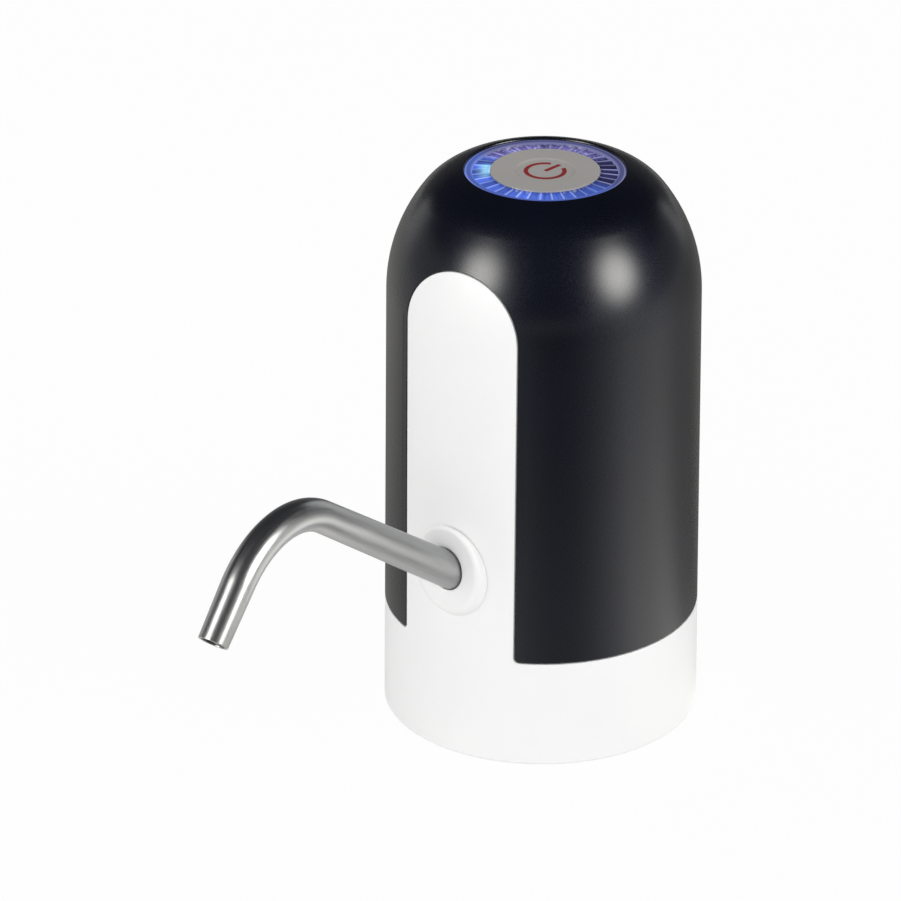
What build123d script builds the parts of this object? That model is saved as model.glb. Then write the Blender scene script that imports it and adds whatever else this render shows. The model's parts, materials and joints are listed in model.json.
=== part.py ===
from build123d import *

import math
import os

# A rechargeable pump that stands on the neck of a water bottle and fills a glass through a steel spout.
# Millimetres and degrees. The origin is the centre of the base rim, +Z is up, the spout points along -Y.
# The neck socket carries the gear pump, its motor, the cell and the charging board.
# The white body slides down over them, and the black shell slides down over the body.
# The control board, light ring and button hang in the dome of the shell.

# Clearances
overrun = 1.0
touch_gap = 0.05
running_clearance = 0.05
slip_clearance = 0.15
seam_gap = 0.15
sleeve_clearance = 0.2
screw_clearance = 0.1

# Outer form: a drafted wall, then a side arc and a shoulder arc that make the dome
wall_draft = 0.42
dome_side_radius = 38.4
dome_turn_angle = 36.9
dome_shoulder_radius = 16.5
base_edge_radius = 0.6

# Black shell
shell_wall = 2.0
shell_edge_height = 26.0
shell_corner_radius = 1.0
shell_rim_radius = 0.4
window_width = 30.0
window_rise = 15.1
seat_width = 3.0
seat_drop = 2.9

# White body
body_wall = 2.0
body_lap = 2.4
snap_radius = 2.5
snap_reach = 0.8
snap_height = 62.0
snap_angles = (20, 90, 160)
boss_radius = 3.2
boss_height = 12.0
boss_web = 2.0
boss_angles = (60, 180, 300)

# Neck socket
neck_bore_radius = 27.75
neck_wall = 2.5
neck_depth = 26.0
socket_room = 1.3
floor_thickness = 3.0
base_flange_thickness = 2.5
seal_groove_low = 14.0
seal_groove_height = 6.0
seal_groove_depth = 1.5
seal_lip = 0.5
seal_lip_height = 2.0
nozzle_radius = 4.0
nozzle_bore_radius = 2.5
nozzle_length = 11.2
nozzle_chamfer = 0.5
inlet_seal_width = 1.4
inlet_seal_height = 1.0
inlet_seal_wall = 0.8

# Screws
screw_radius = 1.25
screw_head_radius = 2.2
screw_head_height = 1.7
screw_head_chamfer = 0.4
screw_bite = 2.0
socket_screw_grip = 7.0

# Gear pump
gear_module = 1.0
gear_teeth = 10
gear_pressure_angle = 25.0
gear_addendum_share = 0.9
gear_dedendum_share = 1.2
gear_backlash = 0.2
gear_width = 7.0
gear_side_clearance = 0.1
gear_tip_clearance = 0.13
pump_cover_thickness = 3.0
gasket_thickness = 0.5
pump_roof = 5.0
pump_wall = 2.4
port_radius = 2.6
port_overlap = 0.3
ear_radius = 2.8
ear_angle = 138.0
outlet_radius = 3.1
outlet_bore_radius = 2.0
outlet_length = 6.0
outlet_margin = 0.3
shaft_seal_wall = 2.4
shaft_seal_height = 2.8
idler_pin_radius = 1.25

# Motor
shaft_radius = 1.0
motor_radius = 12.2
motor_length = 30.8
motor_flat_share = 0.86
motor_edge_radius = 1.0
motor_boss_radius = 3.0
motor_plate_thickness = 1.5
motor_plate_margin = 0.4
motor_screw_offset = 8.0
motor_screw_bite = 3.0
end_cap_step = 1.6
end_cap_height = 4.2
end_cap_bush_radius = 3.2
end_cap_bush_height = 1.6
terminal_width = 2.6
terminal_thickness = 0.5
terminal_height = 4.0
terminal_offset = 6.5

# Cell and its holder
cell_radius = 9.2
cell_length = 65.0
cell_edge_radius = 0.6
cell_cap_radius = 4.0
cell_cap_height = 1.2
cell_headroom = 2.9
tab_width = 6.0
tab_thickness = 0.3
holder_wall = 1.2
holder_base = 1.5
holder_shelf_gap = 0.5
holder_height = 44.0
holder_open_angle = 160.0
holder_foot_thickness = 3.0
holder_foot_radius = 3.2

# Spout, its collar and the hose behind it
spout_tilt = 34.5
spout_root_radius = 4.1
spout_bend_tube_radius = 3.7
spout_tip_radius = 3.45
spout_wall = 0.6
spout_straight = 59.0
spout_bend_radius = 23.4
spout_bend_angle = 83.0
spout_leg = 13.6
spout_insert = 7.0
spout_root_run = 5.0
spout_end_gap = 0.3
collar_wall = 1.2
collar_flange = 1.9
collar_rise = 2.4
collar_edge_radius = 1.5
collar_mouth_radius = 0.6
collar_floor = 2.0
spout_seal_width = 1.7
spout_seal_height = 2.4
spout_seal_depth = 2.6
tail_length = 4.5
hose_wall = 1.4
hose_bend_run = 4.6

# Light ring
light_ring_radius = 18.1
ring_recess = 0.55
ring_rim_width = 1.6
ring_rim_height = 0.35
ring_slope_share = 0.85
ring_lip_thickness = 2.0
ring_flange_width = 2.4
ring_flange_thickness = 1.8
ring_skirt_height = 7.1
ring_skirt_wall = 1.3
ring_edge_radius = 0.25
flute_count = 36
flute_depth = 0.6
flute_width_share = 0.92
flute_margin = 0.2

# Button
button_radius = 12.45
button_rise = 0.2
button_edge_radius = 0.3
button_wall = 1.6
button_flange_width = 1.0
button_flange_thickness = 1.1
button_dish_radius = 6.95
button_dish_depth = 0.3
button_stem_radius = 2.2
button_travel = 0.5

# Control board
board_thickness = 1.6
board_margin = 0.4
board_boss_radius = 2.4
board_boss_gap = 0.4
board_boss_angles = (30, 150, 270)
board_screw_grip = 4.0
switch_width = 6.0
switch_height = 3.5
plunger_radius = 1.75
plunger_rise = 0.7
plunger_depth = 0.8
led_count = 6
led_phase = 34.0
led_length = 3.5
led_width = 2.8
led_height = 1.9
chip_length = 5.0
chip_width = 4.0
chip_height = 1.6
chip_offset = 8.5

# Charging port
usb_width = 8.9
usb_height = 3.2
usb_depth = 7.3
usb_wall = 0.3
tongue_width = 6.6
tongue_thickness = 0.7
tongue_setback = 0.9
plug_room = 1.9
usb_board_width = 14.0
usb_board_thickness = 1.2
usb_board_setback = 0.6
post_radius = 2.4
post_height = 6.5

# Radii that follow from the sizes above
inner_inset = shell_wall + sleeve_clearance + body_wall
dome_foot_radius = neck_bore_radius + neck_wall + socket_room + inner_inset
gear_pitch_radius = gear_module * gear_teeth / 2
gear_tip_radius = gear_pitch_radius + gear_module * gear_addendum_share
gear_root_radius = gear_pitch_radius - gear_module * gear_dedendum_share
chamber_radius = gear_tip_radius + gear_tip_clearance
lobe_radius = chamber_radius + pump_wall
port_offset = math.sqrt(chamber_radius ** 2 - gear_pitch_radius ** 2) + port_radius - port_overlap
port_lobe_radius = port_radius + pump_wall
drive_ear_reach = motor_radius + screw_head_radius + 2 * slip_clearance
idler_ear_reach = chamber_radius + ear_radius
shaft_seal_radius = shaft_radius + shaft_seal_wall
drive_x = -gear_pitch_radius
idler_x = gear_pitch_radius
holder_radius = cell_radius + slip_clearance + holder_wall
collar_bore_radius = spout_root_radius + 2 * running_clearance
collar_socket_radius = collar_bore_radius + spout_seal_width + collar_wall
collar_radius = collar_socket_radius + collar_flange
collar_depth = spout_insert + spout_end_gap + collar_floor
collar_reach = collar_rise / math.cos(math.radians(spout_tilt))
collar_span = collar_reach + collar_radius * math.tan(math.radians(spout_tilt)) + overrun
hose_bore_radius = outlet_radius + touch_gap
hose_radius = hose_bore_radius + hose_wall
ring_opening_radius = light_ring_radius + slip_clearance
ring_inner_radius = button_radius + slip_clearance
ring_rim_radius = light_ring_radius - ring_rim_width
ring_well_radius = ring_inner_radius + button_flange_width + slip_clearance
ring_skirt_radius = light_ring_radius - ring_skirt_wall
board_boss_reach = ring_opening_radius + board_boss_gap + board_boss_radius
board_radius = board_boss_reach + board_boss_radius + board_margin
led_corner_radius = ring_skirt_radius - slip_clearance
led_reach = math.sqrt(led_corner_radius ** 2 - (led_length / 2) ** 2) - led_width / 2

# Levels that follow, from the floor of the neck socket up to the cell
floor_top = neck_depth + floor_thickness
cover_top = floor_top + pump_cover_thickness
housing_low = cover_top + gasket_thickness
gear_low = cover_top + gear_side_clearance
chamber_top = gear_low + gear_width + gear_side_clearance
housing_top = chamber_top + pump_roof
plate_top = housing_top + motor_plate_thickness
motor_top = plate_top + motor_length
outlet_z = housing_low + outlet_radius + outlet_margin
shelf_low = plate_top + screw_head_height + holder_shelf_gap
cell_low = shelf_low + holder_base + tab_thickness
cell_top = cell_low + cell_length + cell_cap_height
board_low = cell_top + tab_thickness + cell_headroom
board_top = board_low + board_thickness
ring_flange_low = board_top + ring_skirt_height
ring_seat = ring_flange_low + ring_flange_thickness
rim_height = ring_seat + seat_drop
ring_top = rim_height - ring_recess
ring_floor = ring_top - ring_rim_height
ring_crest = ring_floor + ring_slope_share * ring_rim_height
ring_lip_low = ring_floor - ring_lip_thickness
button_top = ring_top + button_rise
button_flange_top = ring_lip_low - touch_gap
button_flange_low = button_flange_top - button_flange_thickness
plunger_top = board_top + switch_height + plunger_rise
usb_board_low = floor_top + post_height
usb_board_top = usb_board_low + usb_board_thickness
port_height = usb_board_top + usb_height / 2
flat = (Align.CENTER, Align.CENTER, Align.MIN)


def side_centre():
    """Centre of the side arc as (radius, height above the foot of the dome)."""
    draft = math.radians(wall_draft)
    return dome_foot_radius - dome_side_radius * math.cos(draft), -dome_side_radius * math.sin(draft)


def shoulder_centre():
    """Centre of the shoulder arc as (radius, height above the foot of the dome)."""
    turn = math.radians(dome_turn_angle)
    shift = dome_side_radius - dome_shoulder_radius
    radius, rise = side_centre()
    return radius + shift * math.cos(turn), rise + shift * math.sin(turn)


def dome_rise(radius):
    """Height of the shoulder above the foot of the dome at a radius."""
    centre_radius, centre_rise = shoulder_centre()
    return centre_rise + math.sqrt(dome_shoulder_radius ** 2 - (radius - centre_radius) ** 2)


dome_foot_height = rim_height - dome_rise(ring_opening_radius)
window_apex_height = dome_foot_height + window_rise
body_top_height = window_apex_height + body_lap


def wall_radius(height, inset=0.0):
    """Radius of the form at a height on the wall or the side arc, moved in by an inset."""
    draft = math.radians(wall_draft)
    if height < dome_foot_height:
        return dome_foot_radius + (dome_foot_height - height) * math.tan(draft) - inset / math.cos(draft)
    radius, rise = side_centre()
    return radius + math.sqrt((dome_side_radius - inset) ** 2 - (height - dome_foot_height - rise) ** 2)


base_radius = wall_radius(0)
cell_room = wall_radius(cell_top, inner_inset) - holder_radius - (drive_x + motor_radius + cell_radius)
cell_x = drive_x + motor_radius + cell_radius + cell_room / 2
spout_anchor = wall_radius(outlet_z)
outlet_face = port_offset + port_lobe_radius
hose_corner = outlet_face + outlet_length + hose_bend_run
spout_height = outlet_z + (spout_anchor - hose_corner) * math.tan(math.radians(spout_tilt))


def polar(reach, angle, x=0.0):
    """Point in the plan at a reach and an angle from +X, about a point on the X axis."""
    return x + reach * math.cos(math.radians(angle)), reach * math.sin(math.radians(angle))


boss_reach = neck_bore_radius - screw_head_radius - overrun
boss_places = [polar(boss_reach, angle) for angle in boss_angles]
board_boss_places = [polar(board_boss_reach, angle) for angle in board_boss_angles]
ears = (
    (drive_x, drive_ear_reach, ear_angle),
    (drive_x, drive_ear_reach, -ear_angle),
    (idler_x, idler_ear_reach, ear_angle - 180),
)
ear_places = [polar(reach, angle, x) for x, reach, angle in ears]
motor_screw_places = [(drive_x, motor_screw_offset), (drive_x, -motor_screw_offset)]
holder_foot_reach = holder_radius + screw_head_radius + slip_clearance
holder_foot_places = [(cell_x, holder_foot_reach), (cell_x, -holder_foot_reach)]
usb_rear = wall_radius(port_height, inner_inset)
usb_board_rear = math.sqrt(usb_rear ** 2 - (usb_board_width / 2) ** 2) - usb_board_setback
usb_socket_front = usb_rear - usb_depth - slip_clearance
post_x = usb_board_width / 2 - post_radius
post_y = usb_socket_front - screw_head_radius - 2 * slip_clearance
usb_board_depth = usb_board_rear - post_y + post_radius
usb_board_y = usb_board_rear - usb_board_depth / 2
post_places = [(post_x, post_y), (-post_x, post_y)]


def rod(radius, low, high, place=(0.0, 0.0)):
    """Upright cylinder between two heights."""
    return Pos(place[0], place[1], low) * Cylinder(radius, high - low, align=flat)


def tube(inner, outer, low, high, place=(0.0, 0.0)):
    """Upright ring between two heights."""
    return rod(outer, low, high, place) - rod(inner, low - overrun, high + overrun, place)


def block(length, width, low, high, place=(0.0, 0.0)):
    """Upright box between two heights."""
    return Pos(place[0], place[1], low) * Box(length, width, high - low, align=flat)


def plate(outline, low, high):
    """A flat outline raised between two heights."""
    return extrude(Pos(0, 0, low) * outline, amount=high - low)


def turned(*points):
    """Solid of revolution about Z from a closed outline of (radius, height) points."""
    return revolve(Plane.XZ * make_face(Polyline(*points, close=True)), Axis.Z)


def slab(low, high):
    """Wide disc that keeps what lies between two heights."""
    return rod(2 * base_radius, low, high)


def screws(places, seat, reach, up=False):
    """A group of pan-head screws whose heads sit at one height, with shanks that reach down, or up."""
    head = rod(screw_head_radius, 0, screw_head_height)
    head = chamfer(head.edges().filter_by(GeomType.CIRCLE).sort_by(Axis.Z)[-1], screw_head_chamfer)
    screw = head + rod(screw_radius, -reach, overrun)
    turn = Rot(180, 0, 0) if up else Rot(0, 0, 0)
    return Compound(children=[Pos(x, y, seat) * turn * screw for x, y in places])


def drilled(solid, places, low, high, radius=screw_radius + screw_clearance):
    """A solid with a round hole at each place between two heights."""
    for place in places:
        solid -= rod(radius, low, high, place)
    return solid


def form(inset):
    """The outer form as a closed solid, moved in by an inset."""
    radius, rise = side_centre()
    side = CenterArc(
        (radius, dome_foot_height + rise),
        dome_side_radius - inset,
        wall_draft,
        dome_turn_angle - wall_draft,
    )
    radius, rise = shoulder_centre()
    shoulder = CenterArc(
        (radius, dome_foot_height + rise),
        dome_shoulder_radius - inset,
        dome_turn_angle,
        90 - dome_turn_angle,
    )
    foot = (wall_radius(0, inset), 0)
    crown = shoulder @ 1
    outline = [Line(foot, side @ 0), side, shoulder, Line(crown, (0, crown.Y))]
    outline += [Line((0, crown.Y), (0, 0)), Line((0, 0), foot)]
    return revolve(Plane.XZ * make_face(outline), Axis.Z)


def window(gap):
    """Arched prism through the front wall, narrower by a gap on each side."""
    half = window_width / 2 - gap
    spring = window_apex_height - window_width / 2
    arch = Pos(0, spring) * Circle(half) + Pos(0, spring / 2) * Rectangle(2 * half, spring)
    return extrude(Plane.XZ * arch, amount=2 * base_radius)


def port_cut():
    """Rounded slot through the rear walls that lets a charging plug reach its socket."""
    slot = SlotOverall(usb_width + 2 * plug_room, usb_height + 2 * plug_room)
    return extrude(Plane.XZ * Pos(0, port_height) * slot, amount=-2 * base_radius)


def radial_pin(radius, inner, outer, angle, height):
    """Cylinder that points outwards from the axis between two distances."""
    pin = Cylinder(radius, outer - inner, align=flat)
    return Rot(0, 0, angle) * Pos(inner, 0, height) * Rot(0, 90, 0) * pin


def spout_plane(along):
    """Plane square to the spout's straight run, a distance out from the wall along it."""
    tilt = math.radians(spout_tilt)
    out = Vector(0, -math.cos(tilt), math.sin(tilt))
    start = Vector(0, -spout_anchor, spout_height)
    return Plane(origin=start + out * along, x_dir=(1, 0, 0), z_dir=out)


def spout_rod(radius, low, high):
    """Cylinder along the spout's straight run between two distances from the wall."""
    return spout_plane(low) * Cylinder(radius, high - low, align=flat)


def make_outer_shell():
    """Black shell: the dome and wall, with an arched window, a round opening and a charging slot."""
    shell = (form(0) - form(shell_wall)) & slab(shell_edge_height, rim_height + overrun)
    shell -= rod(ring_opening_radius, board_top, rim_height + 2 * overrun)
    shell = fillet(shell.edges().sort_by(Axis.Z)[-1], shell_rim_radius)
    seat = tube(ring_opening_radius, ring_opening_radius + seat_width, ring_seat, rim_height)
    for place in board_boss_places:
        seat += rod(board_boss_radius, board_top, rim_height, place)
    shell += seat & form(shell_wall / 2)
    shell -= window(0)
    shell = fillet(shell.edges().filter_by(Axis.Y), shell_corner_radius)
    shell -= port_cut()
    shell = drilled(shell, board_boss_places, board_top - overrun, board_top + board_screw_grip + overrun)
    inside = wall_radius(snap_height, shell_wall)
    pocket = snap_radius + slip_clearance
    for angle in snap_angles:
        shell -= radial_pin(pocket, inside - overrun, inside + snap_reach, angle, snap_height)
    return shell


def make_body_housing():
    """White body: base ring, window panel and the sleeve that the shell slides over."""
    whole = form(0)
    whole = fillet(whole.edges().filter_by(GeomType.CIRCLE).sort_by(Axis.Z)[0], base_edge_radius)
    panel = window(seam_gap) & slab(0, body_top_height)
    body = whole & (slab(0, shell_edge_height - seam_gap) + panel)
    body += form(shell_wall + sleeve_clearance) & slab(0, body_top_height)
    outside = wall_radius(snap_height, shell_wall + sleeve_clearance)
    for angle in snap_angles:
        body += radial_pin(snap_radius, outside - overrun, outside + snap_reach, angle, snap_height)
    body -= form(inner_inset)
    low = floor_top + slip_clearance
    wall = wall_radius(floor_top, inner_inset)
    for place, angle in zip(boss_places, boss_angles):
        web_length = wall - boss_reach + body_wall / 2
        web = Pos(boss_reach + web_length / 2, 0, low) * Box(web_length, boss_web, boss_height, align=flat)
        body += rod(boss_radius, low, low + boss_height, place) + Rot(0, 0, angle) * web
    body = drilled(body, boss_places, low - overrun, floor_top + socket_screw_grip + overrun)
    body -= spout_rod(collar_socket_radius + 2 * touch_gap, -collar_depth - overrun, collar_span)
    body -= port_cut()
    return body


def make_neck_socket():
    """White cup that takes the bottle's neck, with the hose nozzle below and the pump's floor above."""
    bore = neck_bore_radius
    wall = bore + neck_wall
    flange = wall_radius(base_flange_thickness, inner_inset) - slip_clearance
    floor = wall_radius(floor_top, inner_inset) - slip_clearance
    groove_top = seal_groove_low + seal_groove_height
    socket = turned(
        (bore, 0),
        (flange, 0),
        (flange, base_flange_thickness),
        (wall, base_flange_thickness),
        (wall, neck_depth),
        (floor, neck_depth),
        (floor, floor_top),
        (0, floor_top),
        (0, neck_depth),
        (bore, neck_depth),
        (bore, groove_top),
        (bore + seal_groove_depth, groove_top),
        (bore + seal_groove_depth, seal_groove_low),
        (bore, seal_groove_low),
    )
    inlet = (0, port_offset)
    tip = neck_depth - nozzle_length
    nozzle = rod(nozzle_radius, tip, neck_depth, inlet)
    nozzle = chamfer(nozzle.edges().filter_by(GeomType.CIRCLE).sort_by(Axis.Z)[0], nozzle_chamfer)
    socket += nozzle
    for place in post_places:
        socket += rod(post_radius, floor_top, usb_board_low, place)
    socket -= rod(nozzle_bore_radius, tip - overrun, floor_top + overrun, inlet)
    groove = nozzle_bore_radius + inlet_seal_wall
    groove_low = floor_top - inlet_seal_height
    socket -= tube(groove, groove + inlet_seal_width, groove_low, floor_top + overrun, inlet)
    socket = drilled(socket, boss_places, neck_depth - overrun, floor_top + overrun)
    bitten = ear_places + holder_foot_places
    socket = drilled(socket, bitten, floor_top - screw_bite - touch_gap, floor_top + overrun)
    return drilled(socket, post_places, usb_board_low - screw_bite - touch_gap, usb_board_low + overrun)


def make_neck_seal():
    """Soft ring in the socket's groove, with a lip that grips the bottle's neck."""
    outer = neck_bore_radius + seal_groove_depth - touch_gap
    lip = neck_bore_radius - seal_lip
    low = seal_groove_low + touch_gap
    high = seal_groove_low + seal_groove_height - touch_gap
    middle = (low + high) / 2
    return turned(
        (neck_bore_radius, low),
        (outer, low),
        (outer, high),
        (neck_bore_radius, high),
        (lip, middle + seal_lip_height / 2),
        (lip, middle - seal_lip_height / 2),
    )


def make_inlet_seal():
    """Soft ring that closes the joint between the nozzle and the pump."""
    inner = nozzle_bore_radius + inlet_seal_wall + touch_gap
    outer = nozzle_bore_radius + inlet_seal_wall + inlet_seal_width - touch_gap
    return tube(inner, outer, floor_top - inlet_seal_height, floor_top, (0, port_offset))


def gear_outline(phase):
    """Involute gear outline about the origin, with the first tooth turned by a phase angle."""
    alpha = math.radians(gear_pressure_angle)
    base = gear_pitch_radius * math.cos(alpha)
    tooth = math.pi * gear_module / 2 - gear_backlash / 2
    half_pitch_angle = tooth / (2 * gear_pitch_radius) + math.tan(alpha) - alpha

    def half_angle(radius):
        roll = math.acos(min(1, base / radius))
        return math.degrees(half_pitch_angle - math.tan(roll) + roll)

    flank_shares = (0, 0.15, 0.4, 0.7, 1)
    radii = [base + share * (gear_tip_radius - base) for share in flank_shares]
    pitch = 360 / gear_teeth
    root_half = half_angle(base)
    tip_half = half_angle(gear_tip_radius)
    edges = []
    for index in range(gear_teeth):
        centre = phase + index * pitch
        rising = [polar(radius, centre - half_angle(radius)) for radius in radii]
        falling = [polar(radius, centre + half_angle(radius)) for radius in reversed(radii)]
        edges.append(Line(polar(gear_root_radius, centre - root_half), rising[0]))
        edges.append(Spline(*rising))
        edges.append(CenterArc((0, 0), gear_tip_radius, centre - tip_half, 2 * tip_half))
        edges.append(Spline(*falling))
        edges.append(Line(falling[-1], polar(gear_root_radius, centre + root_half)))
        edges.append(CenterArc((0, 0), gear_root_radius, centre + root_half, pitch - 2 * root_half))
    return make_face(edges)


def make_gear(x, phase, bore):
    """Pump gear on an upright axis."""
    return Pos(x, 0) * plate(gear_outline(phase) - Circle(bore), gear_low, gear_low + gear_width)


def pump_outline():
    """Plan of the pump: two gear lobes, two port lobes and the screw ears."""
    outline = SlotCenterToCenter(2 * gear_pitch_radius, 2 * lobe_radius)
    outline += Pos(0, port_offset) * Circle(port_lobe_radius)
    outline += Pos(0, -port_offset) * Circle(port_lobe_radius)
    for x, reach, angle in ears:
        ear = SlotCenterToCenter(reach, 2 * ear_radius)
        outline += Pos(x, 0) * Rot(0, 0, angle) * Pos(reach / 2, 0) * ear
    return outline


def chamber_outline():
    """Plan of the pump's chamber: the two gear bores and the two ports."""
    outline = Pos(drive_x, 0) * Circle(chamber_radius) + Pos(idler_x, 0) * Circle(chamber_radius)
    outline += Pos(0, port_offset) * Circle(port_radius)
    return outline + Pos(0, -port_offset) * Circle(port_radius)


def make_pump_housing():
    """Pump housing: gear chamber, outlet nozzle to the front, seal pocket and motor screw pockets above."""
    housing = plate(pump_outline(), housing_low, housing_top)
    nozzle = Pos(0, -port_offset, outlet_z) * Rot(90, 0, 0)
    reach = outlet_face - port_offset + outlet_length
    housing += nozzle * Cylinder(outlet_radius, reach, align=flat)
    housing -= plate(chamber_outline(), housing_low - overrun, chamber_top)
    housing -= nozzle * Cylinder(outlet_bore_radius, reach + overrun, align=flat)
    drive = (drive_x, 0)
    housing -= rod(shaft_radius + slip_clearance, chamber_top - overrun, housing_top + overrun, drive)
    seal_low = housing_top - shaft_seal_height
    housing -= rod(shaft_seal_radius + touch_gap, seal_low, housing_top + overrun, drive)
    pocket = screw_head_radius + slip_clearance
    depth = screw_head_height + slip_clearance
    housing = drilled(housing, motor_screw_places, housing_top - depth, housing_top + overrun, pocket)
    housing = drilled(housing, ear_places, housing_low - overrun, housing_top + overrun)
    pin = idler_pin_radius + touch_gap
    return drilled(housing, [(idler_x, 0)], chamber_top - overrun, chamber_top + pump_roof / 2, pin)


def make_pump_cover():
    """Lower plate of the pump, with the inlet port and the seat of the idler pin."""
    cover = plate(pump_outline(), floor_top, cover_top)
    cover -= rod(nozzle_bore_radius, floor_top - overrun, cover_top + overrun, (0, port_offset))
    cover = drilled(cover, ear_places, floor_top - overrun, cover_top + overrun)
    pin = idler_pin_radius + touch_gap
    return drilled(cover, [(idler_x, 0)], cover_top - pump_cover_thickness / 2, cover_top + overrun, pin)


def make_cover_gasket():
    """Flat gasket between the pump's housing and cover."""
    gasket = plate(pump_outline() - chamber_outline(), cover_top, housing_low)
    return drilled(gasket, ear_places, cover_top - overrun, housing_low + overrun)


def make_shaft_seal():
    """Lip seal round the motor shaft."""
    inner = shaft_radius + running_clearance
    return tube(inner, shaft_seal_radius, housing_top - shaft_seal_height, housing_top, (drive_x, 0))


def make_idler_pin():
    """Fixed pin that the idler gear turns on."""
    low = cover_top - pump_cover_thickness / 2
    return rod(idler_pin_radius, low, chamber_top + pump_roof / 2, (idler_x, 0))


def make_motor_plate():
    """Steel plate that joins the motor to the pump."""
    disc = Pos(drive_x, 0) * Circle(motor_radius + motor_plate_margin)
    steel = plate(pump_outline() + disc, housing_top, plate_top)
    steel -= rod(motor_boss_radius + slip_clearance, housing_top - overrun, plate_top + overrun, (drive_x, 0))
    return drilled(steel, ear_places + motor_screw_places, housing_top - overrun, plate_top + overrun)


def make_motor_can():
    """Motor can with two flats, a front boss and tapped holes for its screws."""
    outline = Circle(motor_radius) & Rectangle(2 * motor_radius, 2 * motor_radius * motor_flat_share)
    can = Pos(drive_x, 0) * plate(outline, plate_top, motor_top)
    can = fillet(can.faces().sort_by(Axis.Z)[0].edges(), motor_edge_radius)
    can += rod(motor_boss_radius, housing_top + touch_gap, plate_top, (drive_x, 0))
    can -= rod(shaft_radius + running_clearance, housing_top - overrun, motor_top + overrun, (drive_x, 0))
    return drilled(can, motor_screw_places, plate_top - overrun, plate_top + motor_screw_bite + overrun)


def make_motor_end_cap():
    """Moulded rear end of the motor with its bush."""
    drive = (drive_x, 0)
    cap = rod(motor_radius - end_cap_step, motor_top, motor_top + end_cap_height, drive)
    cap += rod(end_cap_bush_radius, motor_top, motor_top + end_cap_height + end_cap_bush_height, drive)
    return cap - rod(shaft_radius + running_clearance, motor_top - overrun, motor_top + end_cap_height, drive)


def make_motor_terminals():
    """Two solder tags that stand on the motor's rear end."""
    low = motor_top + end_cap_height
    tag = block(terminal_width, terminal_thickness, low, low + terminal_height)
    return Compound(children=[Pos(drive_x, side * terminal_offset) * tag for side in (-1, 1)])


def make_motor_shaft():
    """Shaft that runs from the motor's rear bush down into the drive gear."""
    return rod(shaft_radius, gear_low, motor_top + end_cap_height - slip_clearance, (drive_x, 0))


def make_cell():
    """Round lithium cell with a raised top contact."""
    can = rod(cell_radius, cell_low, cell_low + cell_length, (cell_x, 0))
    can = fillet(can.edges().filter_by(GeomType.CIRCLE), cell_edge_radius)
    return can + rod(cell_cap_radius, cell_low + cell_length, cell_top, (cell_x, 0))


def make_cell_tabs():
    """Flat contact strips below and above the cell."""
    lower = block(2 * cell_cap_radius, tab_width, cell_low - tab_thickness, cell_low, (cell_x, 0))
    upper = block(2 * cell_cap_radius, tab_width, cell_top, cell_top + tab_thickness, (cell_x, 0))
    return Compound(children=[lower, upper])


def make_cell_holder():
    """Half-round upright with a shelf for the cell and two screwed feet."""
    place = (cell_x, 0)
    top = cell_low + holder_height
    wall = tube(holder_radius - holder_wall, holder_radius, floor_top, top, place)
    half = math.radians(holder_open_angle / 2)
    reach = 2 * holder_radius
    side = reach * math.tan(half)
    mouth = make_face(Polyline((0, 0), (-reach, side), (-reach, -side), close=True))
    wall -= Pos(cell_x, 0) * plate(mouth, floor_top - overrun, top + overrun)
    holder = wall + rod(holder_radius - holder_wall / 2, shelf_low, shelf_low + holder_base, place)
    foot_top = floor_top + holder_foot_thickness
    for foot in holder_foot_places:
        holder += rod(holder_foot_radius, floor_top, foot_top, foot)
    holder -= rod(holder_radius - holder_wall, floor_top - overrun, shelf_low, place)
    return drilled(holder, holder_foot_places, floor_top - overrun, foot_top + overrun)


def make_spout_collar():
    """White collar on the body's front that holds the spout, with a hose tail behind it."""
    front = spout_anchor + collar_rise
    collar = spout_rod(collar_radius, -collar_depth, collar_span)
    collar -= spout_rod(collar_bore_radius, -spout_insert - spout_end_gap, collar_span + overrun)
    collar &= Pos(0, collar_depth) * block(2 * front, 2 * (front + collar_depth), 0, 2 * spout_height)
    face = collar.faces().sort_by(Axis.Y)[0]
    collar = fillet(face.outer_wire().edges(), collar_edge_radius)
    face = collar.faces().filter_by(GeomType.PLANE).sort_by(Axis.Y)[0]
    collar = fillet(face.inner_wires()[0].edges(), collar_mouth_radius)
    sleeve = spout_rod(collar_socket_radius, -collar_depth - overrun, collar_span)
    collar -= form(-touch_gap) - sleeve
    collar += spout_rod(outlet_radius, -collar_depth - tail_length, -collar_depth)
    groove = collar_bore_radius + spout_seal_width
    collar -= spout_rod(groove, -spout_seal_depth - spout_seal_height, -spout_seal_depth)
    collar -= spout_rod(outlet_bore_radius, -collar_depth - tail_length - overrun, 0)
    return collar


def make_spout_seal():
    """Soft ring in the collar that the spout turns and slides in."""
    inner = spout_root_radius + running_clearance
    outer = collar_bore_radius + spout_seal_width - running_clearance
    low = -spout_seal_depth - spout_seal_height + touch_gap
    high = -spout_seal_depth - touch_gap
    return spout_rod(outer, low, high) - spout_rod(inner, low - overrun, high + overrun)


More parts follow.
